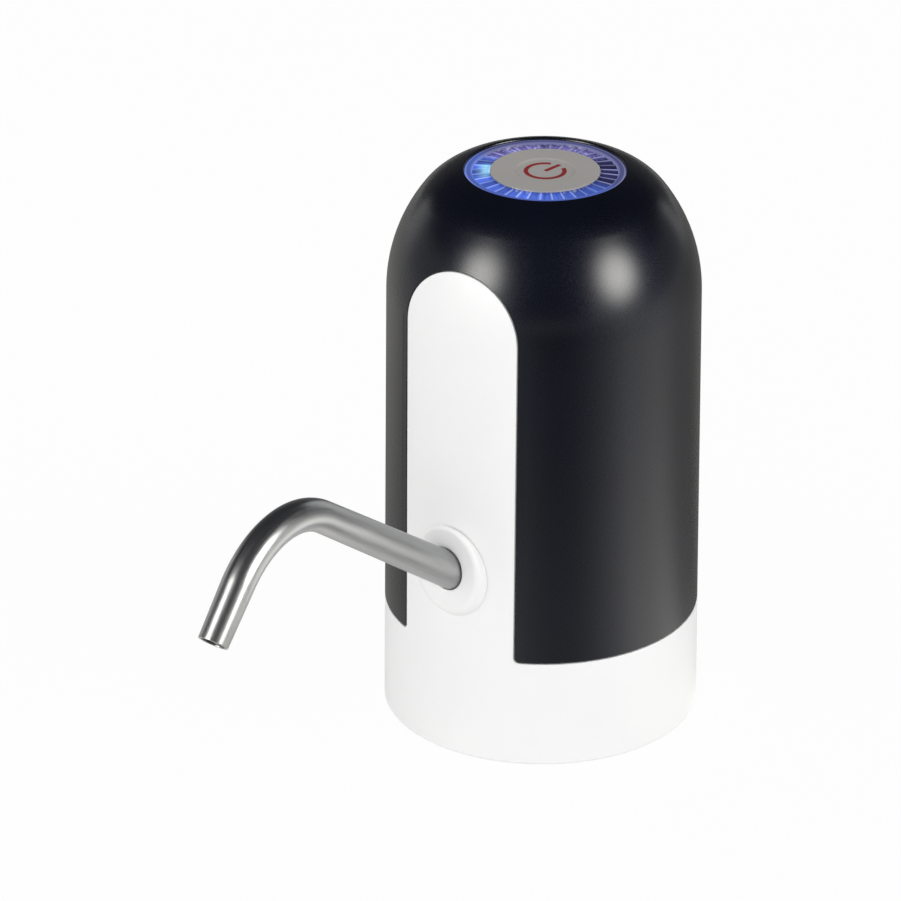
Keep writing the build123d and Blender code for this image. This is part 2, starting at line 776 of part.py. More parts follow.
def spout_form(thinner, past):
    """The spout's run as a solid, thinner all round by one length and longer at both ends by another."""
    root = spout_root_radius - thinner
    bend = spout_bend_tube_radius - thinner
    tip = spout_tip_radius - thinner
    run = spout_rod(root, -spout_insert - past, spout_root_run)
    taper = spout_straight - spout_root_run
    run += spout_plane(spout_root_run) * Cone(root, bend, taper, align=flat)
    top = spout_plane(spout_straight)
    hub = Axis(top.origin - top.y_dir * spout_bend_radius, top.x_dir)
    run += revolve(top * Circle(bend), hub, spout_bend_angle)
    turn = math.radians(spout_bend_angle)
    out = top.z_dir * math.cos(turn) - top.y_dir * math.sin(turn)
    side = top.y_dir * math.cos(turn) + top.z_dir * math.sin(turn)
    start = hub.position + side * spout_bend_radius
    leg = Plane(origin=start, x_dir=(1, 0, 0), z_dir=out)
    run += leg * Cone(bend, tip, spout_leg, align=flat)
    if past:
        end = Plane(origin=start + out * spout_leg, x_dir=(1, 0, 0), z_dir=out)
        run += end * Cylinder(tip, past, align=flat)
    return run


def make_spout_tube():
    """Bent steel tube: straight and slightly tapered, then one bend and a short leg."""
    return spout_form(0, 0) - spout_form(spout_wall, overrun)


def make_outlet_hose():
    """Soft hose from the pump's outlet up to the collar's tail."""
    tilt = math.radians(spout_tilt)
    start = Vector(0, -outlet_face, outlet_z)
    corner = Vector(0, -hose_corner, outlet_z)
    end = spout_plane(-collar_depth).origin
    tangent = hose_bend_run - touch_gap
    path = FilletPolyline(start, corner, end, radius=tangent / math.tan(tilt / 2))
    mouth = Plane(origin=start, x_dir=(1, 0, 0), z_dir=(0, -1, 0))
    return sweep(mouth * (Circle(hose_radius) - Circle(hose_bore_radius)), path)


def make_light_ring():
    """Clear ring round the button: smooth rim, sloping fluted band, flange under the shell, long skirt."""
    ring = turned(
        (ring_inner_radius, ring_lip_low),
        (ring_inner_radius, ring_crest),
        (ring_rim_radius, ring_floor),
        (ring_rim_radius, ring_top),
        (light_ring_radius, ring_top),
        (light_ring_radius, ring_seat),
        (light_ring_radius + ring_flange_width, ring_seat),
        (light_ring_radius + ring_flange_width, ring_flange_low),
        (light_ring_radius, ring_flange_low),
        (light_ring_radius, board_top),
        (ring_skirt_radius, board_top),
        (ring_skirt_radius, ring_flange_low),
        (ring_well_radius, ring_flange_low),
        (ring_well_radius, ring_lip_low),
    )
    upper = ring.edges().filter_by(GeomType.CIRCLE).group_by(Axis.Z)[-1]
    ring = fillet(upper, ring_edge_radius)
    half = flute_width_share * math.tan(math.pi / flute_count)

    def vee(radius):
        slope = (ring_crest - ring_floor) / (ring_rim_radius - ring_inner_radius)
        surface = ring_floor + (ring_rim_radius - radius) * slope
        side = radius * half * (flute_depth + overrun) / flute_depth
        points = ((-side, surface + overrun), (0, surface - flute_depth), (side, surface + overrun))
        return Plane.YZ.offset(radius) * make_face(Polyline(*points, close=True))

    flute = loft([vee(ring_inner_radius + flute_margin), vee(ring_rim_radius - flute_margin)], ruled=True)
    band = plate(Circle(ring_rim_radius - flute_margin), ring_lip_low, ring_top)
    ring -= [Rot(0, 0, index * 360 / flute_count) * (flute & band) for index in range(flute_count)]
    clear = board_boss_radius + slip_clearance
    return drilled(ring, board_boss_places, board_top, ring_seat + overrun, clear)


def make_power_button():
    """Round button with a shallow dish, kept under the light ring by its flange."""
    wide = button_radius + button_flange_width
    button = rod(button_radius, button_flange_low, button_top)
    button = fillet(button.edges().filter_by(GeomType.CIRCLE).sort_by(Axis.Z)[-1], button_edge_radius)
    button += rod(wide, button_flange_low, button_flange_top)
    button -= rod(button_dish_radius, button_top - button_dish_depth, button_top + overrun)
    button -= rod(button_radius - button_wall, button_flange_low - overrun, button_top - button_wall)
    return button + rod(button_stem_radius, plunger_top, button_top - button_wall)


def make_switch_plunger():
    """Plunger of the push switch under the button."""
    return rod(plunger_radius, board_top + switch_height - plunger_depth, plunger_top)


def make_switch_body():
    """Square push switch in the middle of the board."""
    switch = block(switch_width, switch_width, board_top, board_top + switch_height)
    depth = plunger_depth + button_travel + slip_clearance
    well = plunger_radius + slip_clearance
    return switch - rod(well, board_top + switch_height - depth, board_top + switch_height + overrun)


def make_control_board():
    """Round circuit board that hangs on the shell's bosses."""
    board = rod(board_radius, board_low, board_top)
    return drilled(board, board_boss_places, board_low - overrun, board_top + overrun)


def make_board_leds():
    """Light-emitting packages on the board below the ring's fluted band."""
    led = block(led_width, led_length, board_top, board_top + led_height, (led_reach, 0))
    angles = [led_phase + index * 360 / led_count for index in range(led_count)]
    return Compound(children=[Rot(0, 0, angle) * led for angle in angles])


def make_control_chip():
    """Control chip on the board."""
    return block(chip_width, chip_length, board_top, board_top + chip_height, (-chip_offset, 0))


def usb_outline(inset):
    """Section of the charging socket, moved in by an inset, in the plane of the rear wall."""
    slot = SlotOverall(usb_width - 2 * inset, usb_height - 2 * inset)
    return Plane.XZ * Pos(0, port_height) * slot


def make_usb_socket():
    """Steel shell of the charging socket, open to the rear."""
    start = Pos(0, usb_socket_front)
    shell = extrude(usb_outline(0), amount=-usb_depth)
    hollow = extrude(usb_outline(usb_wall), amount=-usb_depth)
    return start * (shell - Pos(0, usb_wall) * hollow)


def make_usb_tongue():
    """Moulded contact tongue inside the charging socket."""
    start = usb_socket_front + usb_wall
    core = extrude(usb_outline(usb_wall + touch_gap), amount=-usb_depth / 4)
    length = usb_depth - usb_wall - tongue_setback
    tongue = Pos(0, length / 2, port_height) * Box(tongue_width, length, tongue_thickness)
    return Pos(0, start) * (core + tongue)


def make_usb_board():
    """Charging board that stands on the two posts of the neck socket."""
    board = block(usb_board_width, usb_board_depth, usb_board_low, usb_board_top, (0, usb_board_y))
    return drilled(board, post_places, usb_board_low - overrun, usb_board_top + overrun)


nodes = {
    "outer_shell": make_outer_shell(),
    "body_housing": make_body_housing(),
    "neck_socket": make_neck_socket(),
    "neck_seal": make_neck_seal(),
    "inlet_seal": make_inlet_seal(),
    "socket_screws": screws(boss_places, neck_depth, floor_thickness + socket_screw_grip, up=True),
    "pump_cover": make_pump_cover(),
    "cover_gasket": make_cover_gasket(),
    "pump_housing": make_pump_housing(),
    "drive_gear": make_gear(drive_x, 0, shaft_radius + touch_gap),
    "idler_gear": make_gear(idler_x, 180 / gear_teeth, idler_pin_radius + running_clearance),
    "idler_pin": make_idler_pin(),
    "shaft_seal": make_shaft_seal(),
    "pump_screws": screws(ear_places, plate_top, plate_top - floor_top + screw_bite),
    "motor_plate": make_motor_plate(),
    "motor_screws": screws(
        motor_screw_places, housing_top, motor_plate_thickness + motor_screw_bite, up=True
    ),
    "motor_can": make_motor_can(),
    "motor_end_cap": make_motor_end_cap(),
    "motor_terminals": make_motor_terminals(),
    "motor_shaft": make_motor_shaft(),
    "cell": make_cell(),
    "cell_tabs": make_cell_tabs(),
    "cell_holder": make_cell_holder(),
    "holder_screws": screws(
        holder_foot_places, floor_top + holder_foot_thickness, holder_foot_thickness + screw_bite
    ),
    "spout_collar": make_spout_collar(),
    "spout_seal": make_spout_seal(),
    "spout_tube": make_spout_tube(),
    "outlet_hose": make_outlet_hose(),
    "light_ring": make_light_ring(),
    "power_button": make_power_button(),
    "switch_plunger": make_switch_plunger(),
    "switch_body": make_switch_body(),
    "control_board": make_control_board(),
    "board_leds": make_board_leds(),
    "control_chip": make_control_chip(),
    "board_screws": screws(board_boss_places, board_low, board_thickness + board_screw_grip, up=True),
    "usb_board": make_usb_board(),
    "usb_screws": screws(post_places, usb_board_top, usb_board_thickness + screw_bite),
    "usb_socket": make_usb_socket(),
    "usb_tongue": make_usb_tongue(),
}

os.makedirs("parts", exist_ok=True)
for name, shape in nodes.items():
    export_step(shape, f"parts/{name}.step")
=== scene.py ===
import json
import math
from functools import partial

import bpy
from bpy.props import FloatProperty, FloatVectorProperty, IntProperty, PointerProperty
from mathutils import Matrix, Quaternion, Vector


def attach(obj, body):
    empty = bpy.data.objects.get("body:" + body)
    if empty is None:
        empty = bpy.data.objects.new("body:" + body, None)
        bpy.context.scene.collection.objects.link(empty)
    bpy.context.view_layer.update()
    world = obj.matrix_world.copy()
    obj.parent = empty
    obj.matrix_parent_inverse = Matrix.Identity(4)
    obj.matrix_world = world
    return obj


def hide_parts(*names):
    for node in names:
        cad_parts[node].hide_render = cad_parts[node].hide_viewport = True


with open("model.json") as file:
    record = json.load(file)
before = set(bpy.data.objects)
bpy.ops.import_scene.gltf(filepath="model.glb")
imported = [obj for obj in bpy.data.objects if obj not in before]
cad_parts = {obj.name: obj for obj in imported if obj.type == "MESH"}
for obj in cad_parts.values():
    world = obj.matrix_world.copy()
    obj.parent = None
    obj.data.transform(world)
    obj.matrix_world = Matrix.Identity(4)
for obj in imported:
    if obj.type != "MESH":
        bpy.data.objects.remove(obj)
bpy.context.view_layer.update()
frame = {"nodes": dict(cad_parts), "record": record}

MM = 0.001
RIGHT_ANGLE = math.pi / 2

# Doubles nearer than this are merged, and after a cut the points nearer than the second
DOUBLES = 0.002 * MM
CUT_DOUBLES = 0.1 * MM
# Places this near to each other lie on one level, and a place this near to the outer form lies on it
LEVEL = 0.01 * MM
SKIN = 0.1 * MM
# Points nearer than this to the window's edge are taken out before the edge is rounded
WINDOW_CLEAR = 0.5 * MM
# Height above the window's top from which a shell edge belongs to the top opening
RIM_START = 5 * MM
# Half of the wall's field round the collar, and the depth of the hole that is cut there
COLLAR_FIELD = 10 * MM
HOLE_DEPTH = 24 * MM
# How far the collar's blank reaches behind and before the wall, and half the height of the core that fits it
BLANK_BACK = 9 * MM
BLANK_FRONT = 14 * MM
CORE_HALF = 30 * MM
# Height of the grain and streaks on a surface
RELIEF = 0.05 * MM

# Painted light in the clear ring, the glow in front, the reflection at the back and one lamp's spot: its
# angle from +X, and the cosines away from it where the light ends and is full
RING_LIGHTS = (("front", 272, -0.24, 0.17), ("back", 128, 0.35, 0.9), ("spot", 210, 0.94, 1.0))
# Painted tones of the clear ring, mixing its painted glow, shade, reflection and highlights: each one's name,
# the share that mixes it, and the two tones that it is mixed from
RING_TONES = (
    ("far_flute", "back", "shade", "haze"),
    ("flute", "front", "far_flute", "glow"),
    ("pale", "front", "ridge", "lit_ridge"),
    ("fluted_band", "crest", "flute", "pale"),
    ("band", "lamp", "fluted_band", "spot"),
    ("plain_rim", "front", "rim", "lit_rim"),
    ("lined_rim", "edges", "plain_rim", "pale"),
    ("paint", "inside", "lined_rim", "band"),
)

# Brightness of the table's reflection, far from the pump and near it, by the angle to the right of the camera
SHEET_LEVELS = (
    (-150, 0.42, 0.21), (-130, 0.7, 0.38), (-60, 0.8, 0.9), (-25, 0.75, 1.5), (-10, 0.3, 0.8), (5, 0.1, 0.55),
    (20, 0.12, 0.55), (32, 0.3, 0.8), (45, 0.6, 1.4), (60, 1.25, 2.3), (85, 1.35, 2.1), (105, 0.62, 0.55),
    (125, 0.32, 0.24), (150, 0.28, 0.28),
)

bl_info = {
    "name": "Bottle-top water pump",
    "version": (1, 0, 0),
    "blender": (4, 5, 0),
    "location": "3D View > Sidebar > Pump",
    "description": "Models the looks of a rechargeable bottle-top water pump round its CAD frame",
    "category": "Mesh",
}


def linear(code):
    """An sRGB hex colour as linear red, green and blue."""
    shares = [int(code[i:i + 2], 16) / 255 for i in (1, 3, 5)]
    return [s / 12.92 if s <= 0.04045 else ((s + 0.055) / 1.055) ** 2.4 for s in shares]


def length(name, description, size):
    """A length property, given in millimetres and kept in metres."""
    return FloatProperty(name=name, description=description, default=size * MM, unit="LENGTH", precision=5)


def angle(name, description, degrees):
    """An angle property, given in degrees."""
    return FloatProperty(name=name, description=description, default=math.radians(degrees), subtype="ANGLE")


def colour(name, description, code):
    """A colour property, given as an sRGB hex value."""
    return FloatVectorProperty(
        name=name, description=description, default=linear(code), subtype="COLOR", size=3, min=0, max=1
    )


def strength(name, description, power):
    """A brightness or a lamp's power."""
    return FloatProperty(name=name, description=description, default=power, min=0)


class PumpForm(bpy.types.PropertyGroup):
    """Sizes of the body and of the shell that slides over it."""

    draft: angle("Wall draft", "Lean of the wall towards the axis", 0.42)
    foot_radius: length("Dome foot radius", "Radius where the wall turns into the dome", 35.75)
    foot_height: length("Dome foot height", "Height where the wall turns into the dome", 103.4834)
    side_radius: length("Side arc", "Radius of the dome's side arc", 38.4)
    side_turn: angle("Side arc turn", "Angle where the side arc meets the shoulder arc", 36.9)
    shoulder_radius: length("Shoulder arc", "Radius of the dome's shoulder arc", 16.5)
    opening_radius: length("Top opening", "Radius of the round opening in the dome", 18.25)
    shell_wall: length("Shell wall", "Thickness of the black shell", 2.0)
    shell_edge: length("Shell edge", "Height of the shell's lower edge", 26.0)
    shell_corner: length("Shell corner", "Rounding of the shell's lower corners at the window", 1.0)
    window_width: length("Window width", "Width of the arched window in the shell", 30.0)
    window_apex: length("Window apex", "Height of the top of the arched window", 118.5834)
    seam: length("Seam", "Gap between the white body and the shell", 0.25)
    sleeve_inset: length("Sleeve inset", "How far the white sleeve lies inside the outer form", 2.2)
    bore_inset: length("Bore inset", "How far the inside of the body lies inside the outer form", 4.2)
    body_top: length("Body top", "Height of the white body", 120.98)
    base_edge: length("Base edge", "Rounding of the base's lower edge", 0.6)
    edge: length("Moulded edge", "Rounding of the other moulded edges", 0.3)
    rim_edge: length("Rim edge", "Rounding of the shell round the top opening", 0.5)
    port_width: length("Port width", "Width of the charging slot", 12.7)
    port_rise: length("Port height", "Height of the charging slot", 7.0)
    port_height: length("Port place", "Height of the charging slot's middle", 38.3)
    steps: IntProperty(name="Steps", description="Steps round a turned piece", default=156, min=24)


class PumpSpout(bpy.types.PropertyGroup):
    """Sizes of the spout and its collar."""

    tilt: angle("Tilt", "Rise of the straight run above the horizontal", 34.5)
    anchor: length("Anchor", "Distance from the axis to where the spout meets the wall", 36.2454)
    height: length("Height", "Height where the spout meets the wall", 46.1919)
    root_radius: length("Root radius", "Radius of the tube at the collar", 4.1)
    bend_tube_radius: length("Bend tube radius", "Radius of the tube in the bend", 3.7)
    tip_radius: length("Tip radius", "Radius of the tube at its tip", 3.45)
    wall: length("Wall", "Thickness of the tube", 0.6)
    straight: length("Straight run", "Length of the straight run from the wall", 59.0)
    bend_radius: length("Bend radius", "Radius of the bend", 23.4)
    bend_angle: angle("Bend angle", "Turn of the bend", 83.0)
    leg: length("Leg", "Length of the straight leg after the bend", 13.6)
    insert: length("Insert", "Length of the tube inside the wall", 7.0)
    lip: length("Lip", "Rounding of the tube's ends", 0.2)
    root_run: length("Root run", "Length of the tube that keeps its root radius outside the wall", 5.0)
    collar_radius: length("Collar radius", "Outer radius of the collar", 9.0)
    collar_bore: length("Collar bore", "Radius of the hole in the collar", 4.2)
    collar_rise: length("Collar rise", "How far the collar's flat front stands off the wall", 2.4)
    collar_edge: length("Collar edge", "Rounding of the collar's front edge", 1.5)
    mouth_edge: length("Mouth edge", "Rounding of the collar's mouth", 0.6)
    collar_gap: length("Collar gap", "Gap between the collar and the body", 0.15)
    socket_radius: length("Socket radius", "Radius of the hole in the body behind the collar", 7.2)
    seal_width: length("Seal width", "Width of the groove that holds the spout's seal", 1.7)
    seal_depth: length("Seal depth", "Depth of that groove behind the wall", 2.6)


class PumpTop(bpy.types.PropertyGroup):
    """Sizes of the light ring, the button and its sign."""

    ring_radius: length("Ring radius", "Outer radius of the clear ring", 18.1)
    ring_inner: length("Ring inner radius", "Inner radius of the clear ring", 12.6)
    ring_top: length("Ring top", "Height of the ring's smooth rim", 131.95)
    ring_low: length("Ring underside", "Height of the ring's underside", 129.6)
    rim_width: length("Rim width", "Width of the ring's smooth rim", 1.6)
    rim_height: length("Rim height", "Height of the rim above the outer end of the fluted band", 0.35)
    rim_edge: length("Rim edge", "Rounding of the rim's edges", 0.25)
    band_slope: length("Band slope", "Rise of the fluted band towards the button", 0.2975)
    flutes: IntProperty(name="Flutes", description="Number of flutes in the ring", default=36, min=3)
    flute_depth: length("Flute depth", "Depth of the flutes", 0.6)
    flute_margin: length("Flute margin", "Flat margin at the ends of a flute", 0.2)
    button_radius: length("Button radius", "Radius of the button", 12.45)
    button_top: length("Button top", "Height of the button's face", 132.15)
    button_low: length("Button underside", "Height of the button's lower edge", 128.35)
    button_edge: length("Button edge", "Rounding of the button's edge", 0.3)
    dish_radius: length("Dish radius", "Radius of the dish in the button", 6.95)
    dish_depth: length("Dish depth", "Depth of the dish in the button", 0.3)
    dish_slope: length("Dish slope", "Width of the slope round the dish", 0.5)
    sign_radius: length("Sign radius", "Outer radius of the power sign", 4.85)
    sign_stroke: length("Sign stroke", "Width of the sign's strokes", 1.0)
    sign_film: length("Sign film", "Thickness of the printed sign", 0.03)
    sign_gap: angle("Sign gap", "Half of the gap in the sign's ring", 26.0)
    sign_turn: angle("Sign turn", "Direction of the sign's bar from +X", 82.0)


class PumpColours(bpy.types.PropertyGroup):
    """Colours of the finishes."""

    shell: colour("Shell", "Satin black shell", "#04091a")
    body: colour("Body", "White body and collar", "#f6f6f6")
    steel: colour("Steel", "Stainless spout", "#a5a6a8")
    button: colour("Button", "Silver-grey button", "#a8a5a2")
    sign: colour("Sign", "Red power sign", "#962126")
    # Colours below of the clear ring are painted light: the painted glow of its lamps on lit flutes, the rim
    # and a spot, the painted shade of unlit flutes, a painted reflection on the flutes at the back, and
    # painted highlights on the ridges
    glow: colour("Glow", "Lit flutes of the ring", "#4c69cf")
    spot: colour("Spot", "Ring just above a lamp", "#94cdf2")
    shade: colour("Shade", "Unlit flutes of the ring", "#26264c")
    haze: colour("Haze", "Flutes at the back of the ring", "#6a62a8")
    ridge: colour("Ridge", "Ridges between unlit flutes", "#9c9ccb")
    lit_ridge: colour("Lit ridge", "Ridges between lit flutes", "#9db2ff")
    rim: colour("Rim", "Unlit rim of the ring", "#454a7a")
    lit_rim: colour("Lit rim", "Lit rim of the ring", "#4b66c4")


class PumpStage(bpy.types.PropertyGroup):
    """Camera and light of the studio."""

    azimuth: angle("Azimuth", "Camera's turn round the pump from the front", 34.0)
    elevation: angle("Elevation", "Camera's height above the horizon", 25.71)
    roll: angle("Roll", "Camera's lean", 0.55)
    distance: length("Distance", "From the camera to the pump's middle", 1273.6)
    middle: length("Middle", "Height of the pump's middle", 62.0)
    shift: FloatVectorProperty(
        name="Shift", description="Lens shift that frames the picture", default=(-0.1021, 0.0011), size=2
    )
    lens: FloatProperty(
        name="Lens", description="Focal length on a 36 mm sensor", default=221.5, unit="CAMERA"
    )
    ambient: strength("Ambient", "Strength of the light all round", 0.77)
    front_fill: strength("Front fill", "Power of the large lamp in front", 4.1)
    right_key: strength("Right key", "Power of the lamp on the right", 2.0)
    left_key: strength("Left key", "Power of the lamp on the left", 1.0)
    right_box: strength("Right box", "Brightness of the right reflection", 21)
    left_box: strength("Left box", "Brightness of the left reflection", 20)
    flag: colour("Flag", "Dark cloth over and in front of the pump", "#3e3f44")
    warm: colour("Warm", "Tint of the lit reflections", "#fffdf7")
    floor: colour("Floor", "Plain pale floor", "#ffffff")


def settle():
    """Object mode with nothing selected."""
    if bpy.context.object and bpy.context.object.mode != "OBJECT":
        bpy.ops.object.mode_set(mode="OBJECT")
    bpy.ops.object.select_all(action="DESELECT")


def open_piece(piece):
    """Makes a piece the only selected one."""
    settle()
    piece.select_set(True)
    bpy.context.view_layer.objects.active = piece


def choose(piece, test):
    """Selects the vertices of a piece whose places pass a test, and leaves it in edit mode."""
    open_piece(piece)
    bpy.ops.object.mode_set(mode="EDIT")
    bpy.ops.mesh.select_mode(type="VERT")
    bpy.ops.mesh.select_all(action="DESELECT")
    bpy.ops.object.mode_set(mode="OBJECT")
    for vertex in piece.data.vertices:
        vertex.select = bool(test(vertex.co))
    bpy.ops.object.mode_set(mode="EDIT")


def fix_place():
    """Moves the place, turn and size of the selected piece into its mesh."""
    bpy.ops.object.transform_apply(location=True, rotation=True, scale=True)


def started(name):
    """The shape that was just added, named and with its place in its mesh."""
    piece = bpy.context.object
    piece.name = piece.data.name = name
    fix_place()
    return piece


def set_on_wall(piece, spout):
    """Turns a piece made along Z to the spout's direction, and puts it where the spout meets the wall."""
    open_piece(piece)
    piece.rotation_euler = (RIGHT_ANGLE - spout.tilt, 0, 0)
    piece.location = (0, -spout.anchor, spout.height)
    fix_place()


def extrude(step):
    """Extrudes what is selected by a step."""
    bpy.ops.mesh.extrude_region_move(TRANSFORM_OT_translate={"value": step})


def tidy(piece, outward=True, merge=DOUBLES):
    """Merges doubles and turns the faces outwards."""
    choose(piece, lambda place: True)
    bpy.ops.mesh.remove_doubles(threshold=merge)
    if outward:
        bpy.ops.mesh.normals_make_consistent(inside=False)
    settle()


def finish_modifier(piece, kind, **settings):
    """Adds a modifier to a piece and applies it."""
    open_piece(piece)
    modifier = piece.modifiers.new(kind.lower(), kind)
    for name, value in settings.items():
        setattr(modifier, name, value)
    bpy.ops.object.modifier_apply(modifier=modifier.name)
    settle()


def turned(name, outline, steps):
    """A turned piece: a point is drawn along an outline of (radius, height) and the line is spun about Z."""
    settle()
    start = outline[0]
    bpy.ops.mesh.primitive_plane_add(size=MM, location=(start[0], 0, start[1]))
    piece = started(name)
    bpy.ops.object.mode_set(mode="EDIT")
    bpy.ops.mesh.select_all(action="SELECT")
    bpy.ops.mesh.merge(type="CENTER")
    for before, after in zip(outline, outline[1:]):
        extrude((after[0] - before[0], 0, after[1] - before[1]))
    bpy.ops.mesh.select_all(action="SELECT")
    bpy.ops.mesh.remove_doubles(threshold=DOUBLES)
    bpy.ops.mesh.spin(steps=steps, angle=2 * math.pi, center=(0, 0, 0), axis=(0, 0, 1))
    tidy(piece)
    return piece


def carve(piece, tool):
    """Cuts a piece with a tool, and throws the tool away."""
    finish_modifier(piece, "BOOLEAN", object=tool, operation="DIFFERENCE", solver="EXACT")
    bpy.data.objects.remove(tool)


def soften(piece, width, test, segments=3, limit=25.0):
    """Rounds the sharp edges of a piece whose middles pass a test, and smooths its faces."""
    open_piece(piece)
    bpy.ops.object.mode_set(mode="EDIT")
    bpy.ops.mesh.select_mode(type="EDGE")
    bpy.ops.mesh.select_all(action="DESELECT")
    bpy.ops.mesh.edges_select_sharp(sharpness=math.radians(limit))
    bpy.ops.object.mode_set(mode="OBJECT")
    corners = piece.data.vertices
    for edge in piece.data.edges:
        start, end = (corners[index].co for index in edge.vertices)
        edge.select = edge.select and test((start + end) / 2)
    bpy.ops.object.mode_set(mode="EDIT")
    bpy.ops.mesh.bevel(offset=width, offset_type="OFFSET", segments=segments, affect="EDGES")
    tidy(piece, outward=False)
    smooth(piece)


def smooth(piece, limit=35.0):
    """Smooth shading up to an angle, with the large faces leading."""
    open_piece(piece)
    bpy.ops.object.shade_smooth_by_angle(angle=math.radians(limit))
    finish_modifier(piece, "WEIGHTED_NORMAL", keep_sharp=True, weight=50)


def pattern_of(piece):
    """A smooth copy of a piece before it is cut, for take_shading."""
    open_piece(piece)
    bpy.ops.object.duplicate()
    pattern = bpy.context.object
    smooth(pattern)
    return pattern


def take_shading(piece, pattern, test):
    """Gives the places of a piece that pass a test its pattern's shading, and throws the pattern away."""
    group = piece.vertex_groups.new(name="form")
    group.add([vertex.index for vertex in piece.data.vertices if test(vertex.co)], 1.0, "REPLACE")
    finish_modifier(
        piece, "DATA_TRANSFER", object=pattern, vertex_group=group.name, use_loop_data=True,
        data_types_loops={"CUSTOM_NORMAL"}, loop_mapping="POLYINTERP_NEAREST",
    )
    piece.vertex_groups.clear()
    bpy.data.objects.remove(pattern)


def arc(centre, radius, start, end, steps):
    """Points of an arc in (radius, height), from one angle to another."""
    angles = [start + (end - start) * i / steps for i in range(steps + 1)]
    return [(centre[0] + radius * math.cos(a), centre[1] + radius * math.sin(a)) for a in angles]


def wall_radius(form, height, inset=0.0):
    """Radius of the drafted wall at a height, moved in by an inset."""
    lean = (form.foot_height - height) * math.tan(form.draft)
    return form.foot_radius + lean - inset / math.cos(form.draft)


def side_centre(form):
    """Centre of the dome's side arc as (radius, height)."""
    return (
        form.foot_radius - form.side_radius * math.cos(form.draft),
        form.foot_height - form.side_radius * math.sin(form.draft),
    )


def shoulder_centre(form):
    """Centre of the dome's shoulder arc as (radius, height)."""
    shift = form.side_radius - form.shoulder_radius
    radius, height = side_centre(form)
    return radius + shift * math.cos(form.side_turn), height + shift * math.sin(form.side_turn)


def side_arc(form, inset, steps=14):
    """Points of the dome's side arc, moved in by an inset."""
    return arc(side_centre(form), form.side_radius - inset, form.draft, form.side_turn, steps)


def shoulder_arc(form, inset):
    """Points of the dome's shoulder arc up to the top opening, moved in by an inset."""
    centre = shoulder_centre(form)
    radius = form.shoulder_radius - inset
    end = math.acos((form.opening_radius - centre[0]) / radius)
    return arc(centre, radius, form.side_turn, end, steps=18)


def on_form(form, place):
    """Whether a place lies on the outer form."""
    reach = math.hypot(place.x, place.y)
    depth = wall_radius(form, place.z) - reach
    if place.z > form.foot_height:
        centre, radius = side_centre(form), form.side_radius
        if math.atan2(place.z - centre[1], reach - centre[0]) > form.side_turn:
            centre, radius = shoulder_centre(form), form.shoulder_radius
        depth = radius - math.hypot(reach - centre[0], place.z - centre[1])
    return abs(depth) < SKIN


def arch(form, gap):
    """Arched tool through the front wall, narrower by a gap on each side and flared at its foot."""
    half = form.window_width / 2 - gap
    spring = form.window_apex - form.window_width / 2
    flare = form.shell_corner + gap
    foot = form.shell_edge + form.shell_corner
    turn = math.radians(85)
    settle()
    bpy.ops.mesh.primitive_circle_add(
        vertices=128, radius=half, location=(0, -form.foot_radius / 2, spring), rotation=(RIGHT_ANGLE, 0, 0)
    )
    tool = started("window_tool")
    choose(tool, lambda place: place.z < spring - LEVEL)
    bpy.ops.mesh.delete(type="VERT")
    choose(tool, lambda place: place.z < spring + LEVEL)
    extrude((0, 0, foot - spring))
    for side in (-1, 1):
        choose(tool, lambda place: place.z < foot + LEVEL and place.x * side > 0)
        hub = (side * (half + flare), -form.foot_radius / 2, foot)
        bpy.ops.mesh.spin(steps=4, angle=side * turn, center=hub, axis=(0, 1, 0))
        extrude((0, 0, flare * math.sin(turn) - foot))
    bpy.ops.mesh.select_all(action="SELECT")
    bpy.ops.mesh.edge_face_add()
    extrude((0, -2 * form.foot_radius, 0))
    tidy(tool)
    return tool


def beside_window(form, place):
    """Whether a place on the outer form lies beside the window's edge, where it would spoil the rounding."""
    spring = form.window_apex - form.window_width / 2
    away = abs(math.hypot(place.x, max(place.z - spring, 0)) - form.window_width / 2)
    above = place.z > form.shell_edge + 2 * form.shell_corner
    return on_form(form, place) and above and place.y < 0 and LEVEL < away < WINDOW_CLEAR


def port_slot(form):
    """Rounded tool through the rear wall for the charging plug."""
    radius = form.port_rise / 2
    shift = form.port_width / 2 - radius
    settle()
    bpy.ops.mesh.primitive_circle_add(
        vertices=64, radius=radius, location=(0, form.foot_radius / 2, form.port_height),
        rotation=(RIGHT_ANGLE, 0, 0), fill_type="NGON",
    )
    tool = started("slot_tool")
    for side in (-1, 1):
        choose(tool, lambda place: place.x * side > LEVEL)
        bpy.ops.transform.translate(value=(side * shift, 0, 0))
    bpy.ops.mesh.select_all(action="SELECT")
    extrude((0, 2 * form.foot_radius, 0))
    tidy(tool)
    return tool


def add_node(tree, kind, values=None, **settings):
    """Adds a node to a tree, with its settings and with values or links for its sockets."""
    node = tree.nodes.new(kind)
    for name, value in settings.items():
        setattr(node, name, value)
    for name, value in (values or {}).items():
        value = value.outputs[0] if isinstance(value, bpy.types.Node) else value
        if isinstance(value, bpy.types.NodeSocket):
            tree.links.new(value, node.inputs[name])
        else:
            node.inputs[name].default_value = value
    return node


def start_material(name):
    """An empty material, the function that adds its nodes, and its object coordinates."""
    material = bpy.data.materials.new(name)
    material.use_nodes = True
    material.node_tree.nodes.clear()
    add = partial(add_node, material.node_tree)
    return material, add, add("ShaderNodeTexCoord").outputs["Object"]


def end_material(material, shader, shown):
    """Joins the shader to the output and sets the colour that a plain view shows."""
    add_node(material.node_tree, "ShaderNodeOutputMaterial", {"Surface": shader})
    material.diffuse_color = (*shown, 1)
    return material


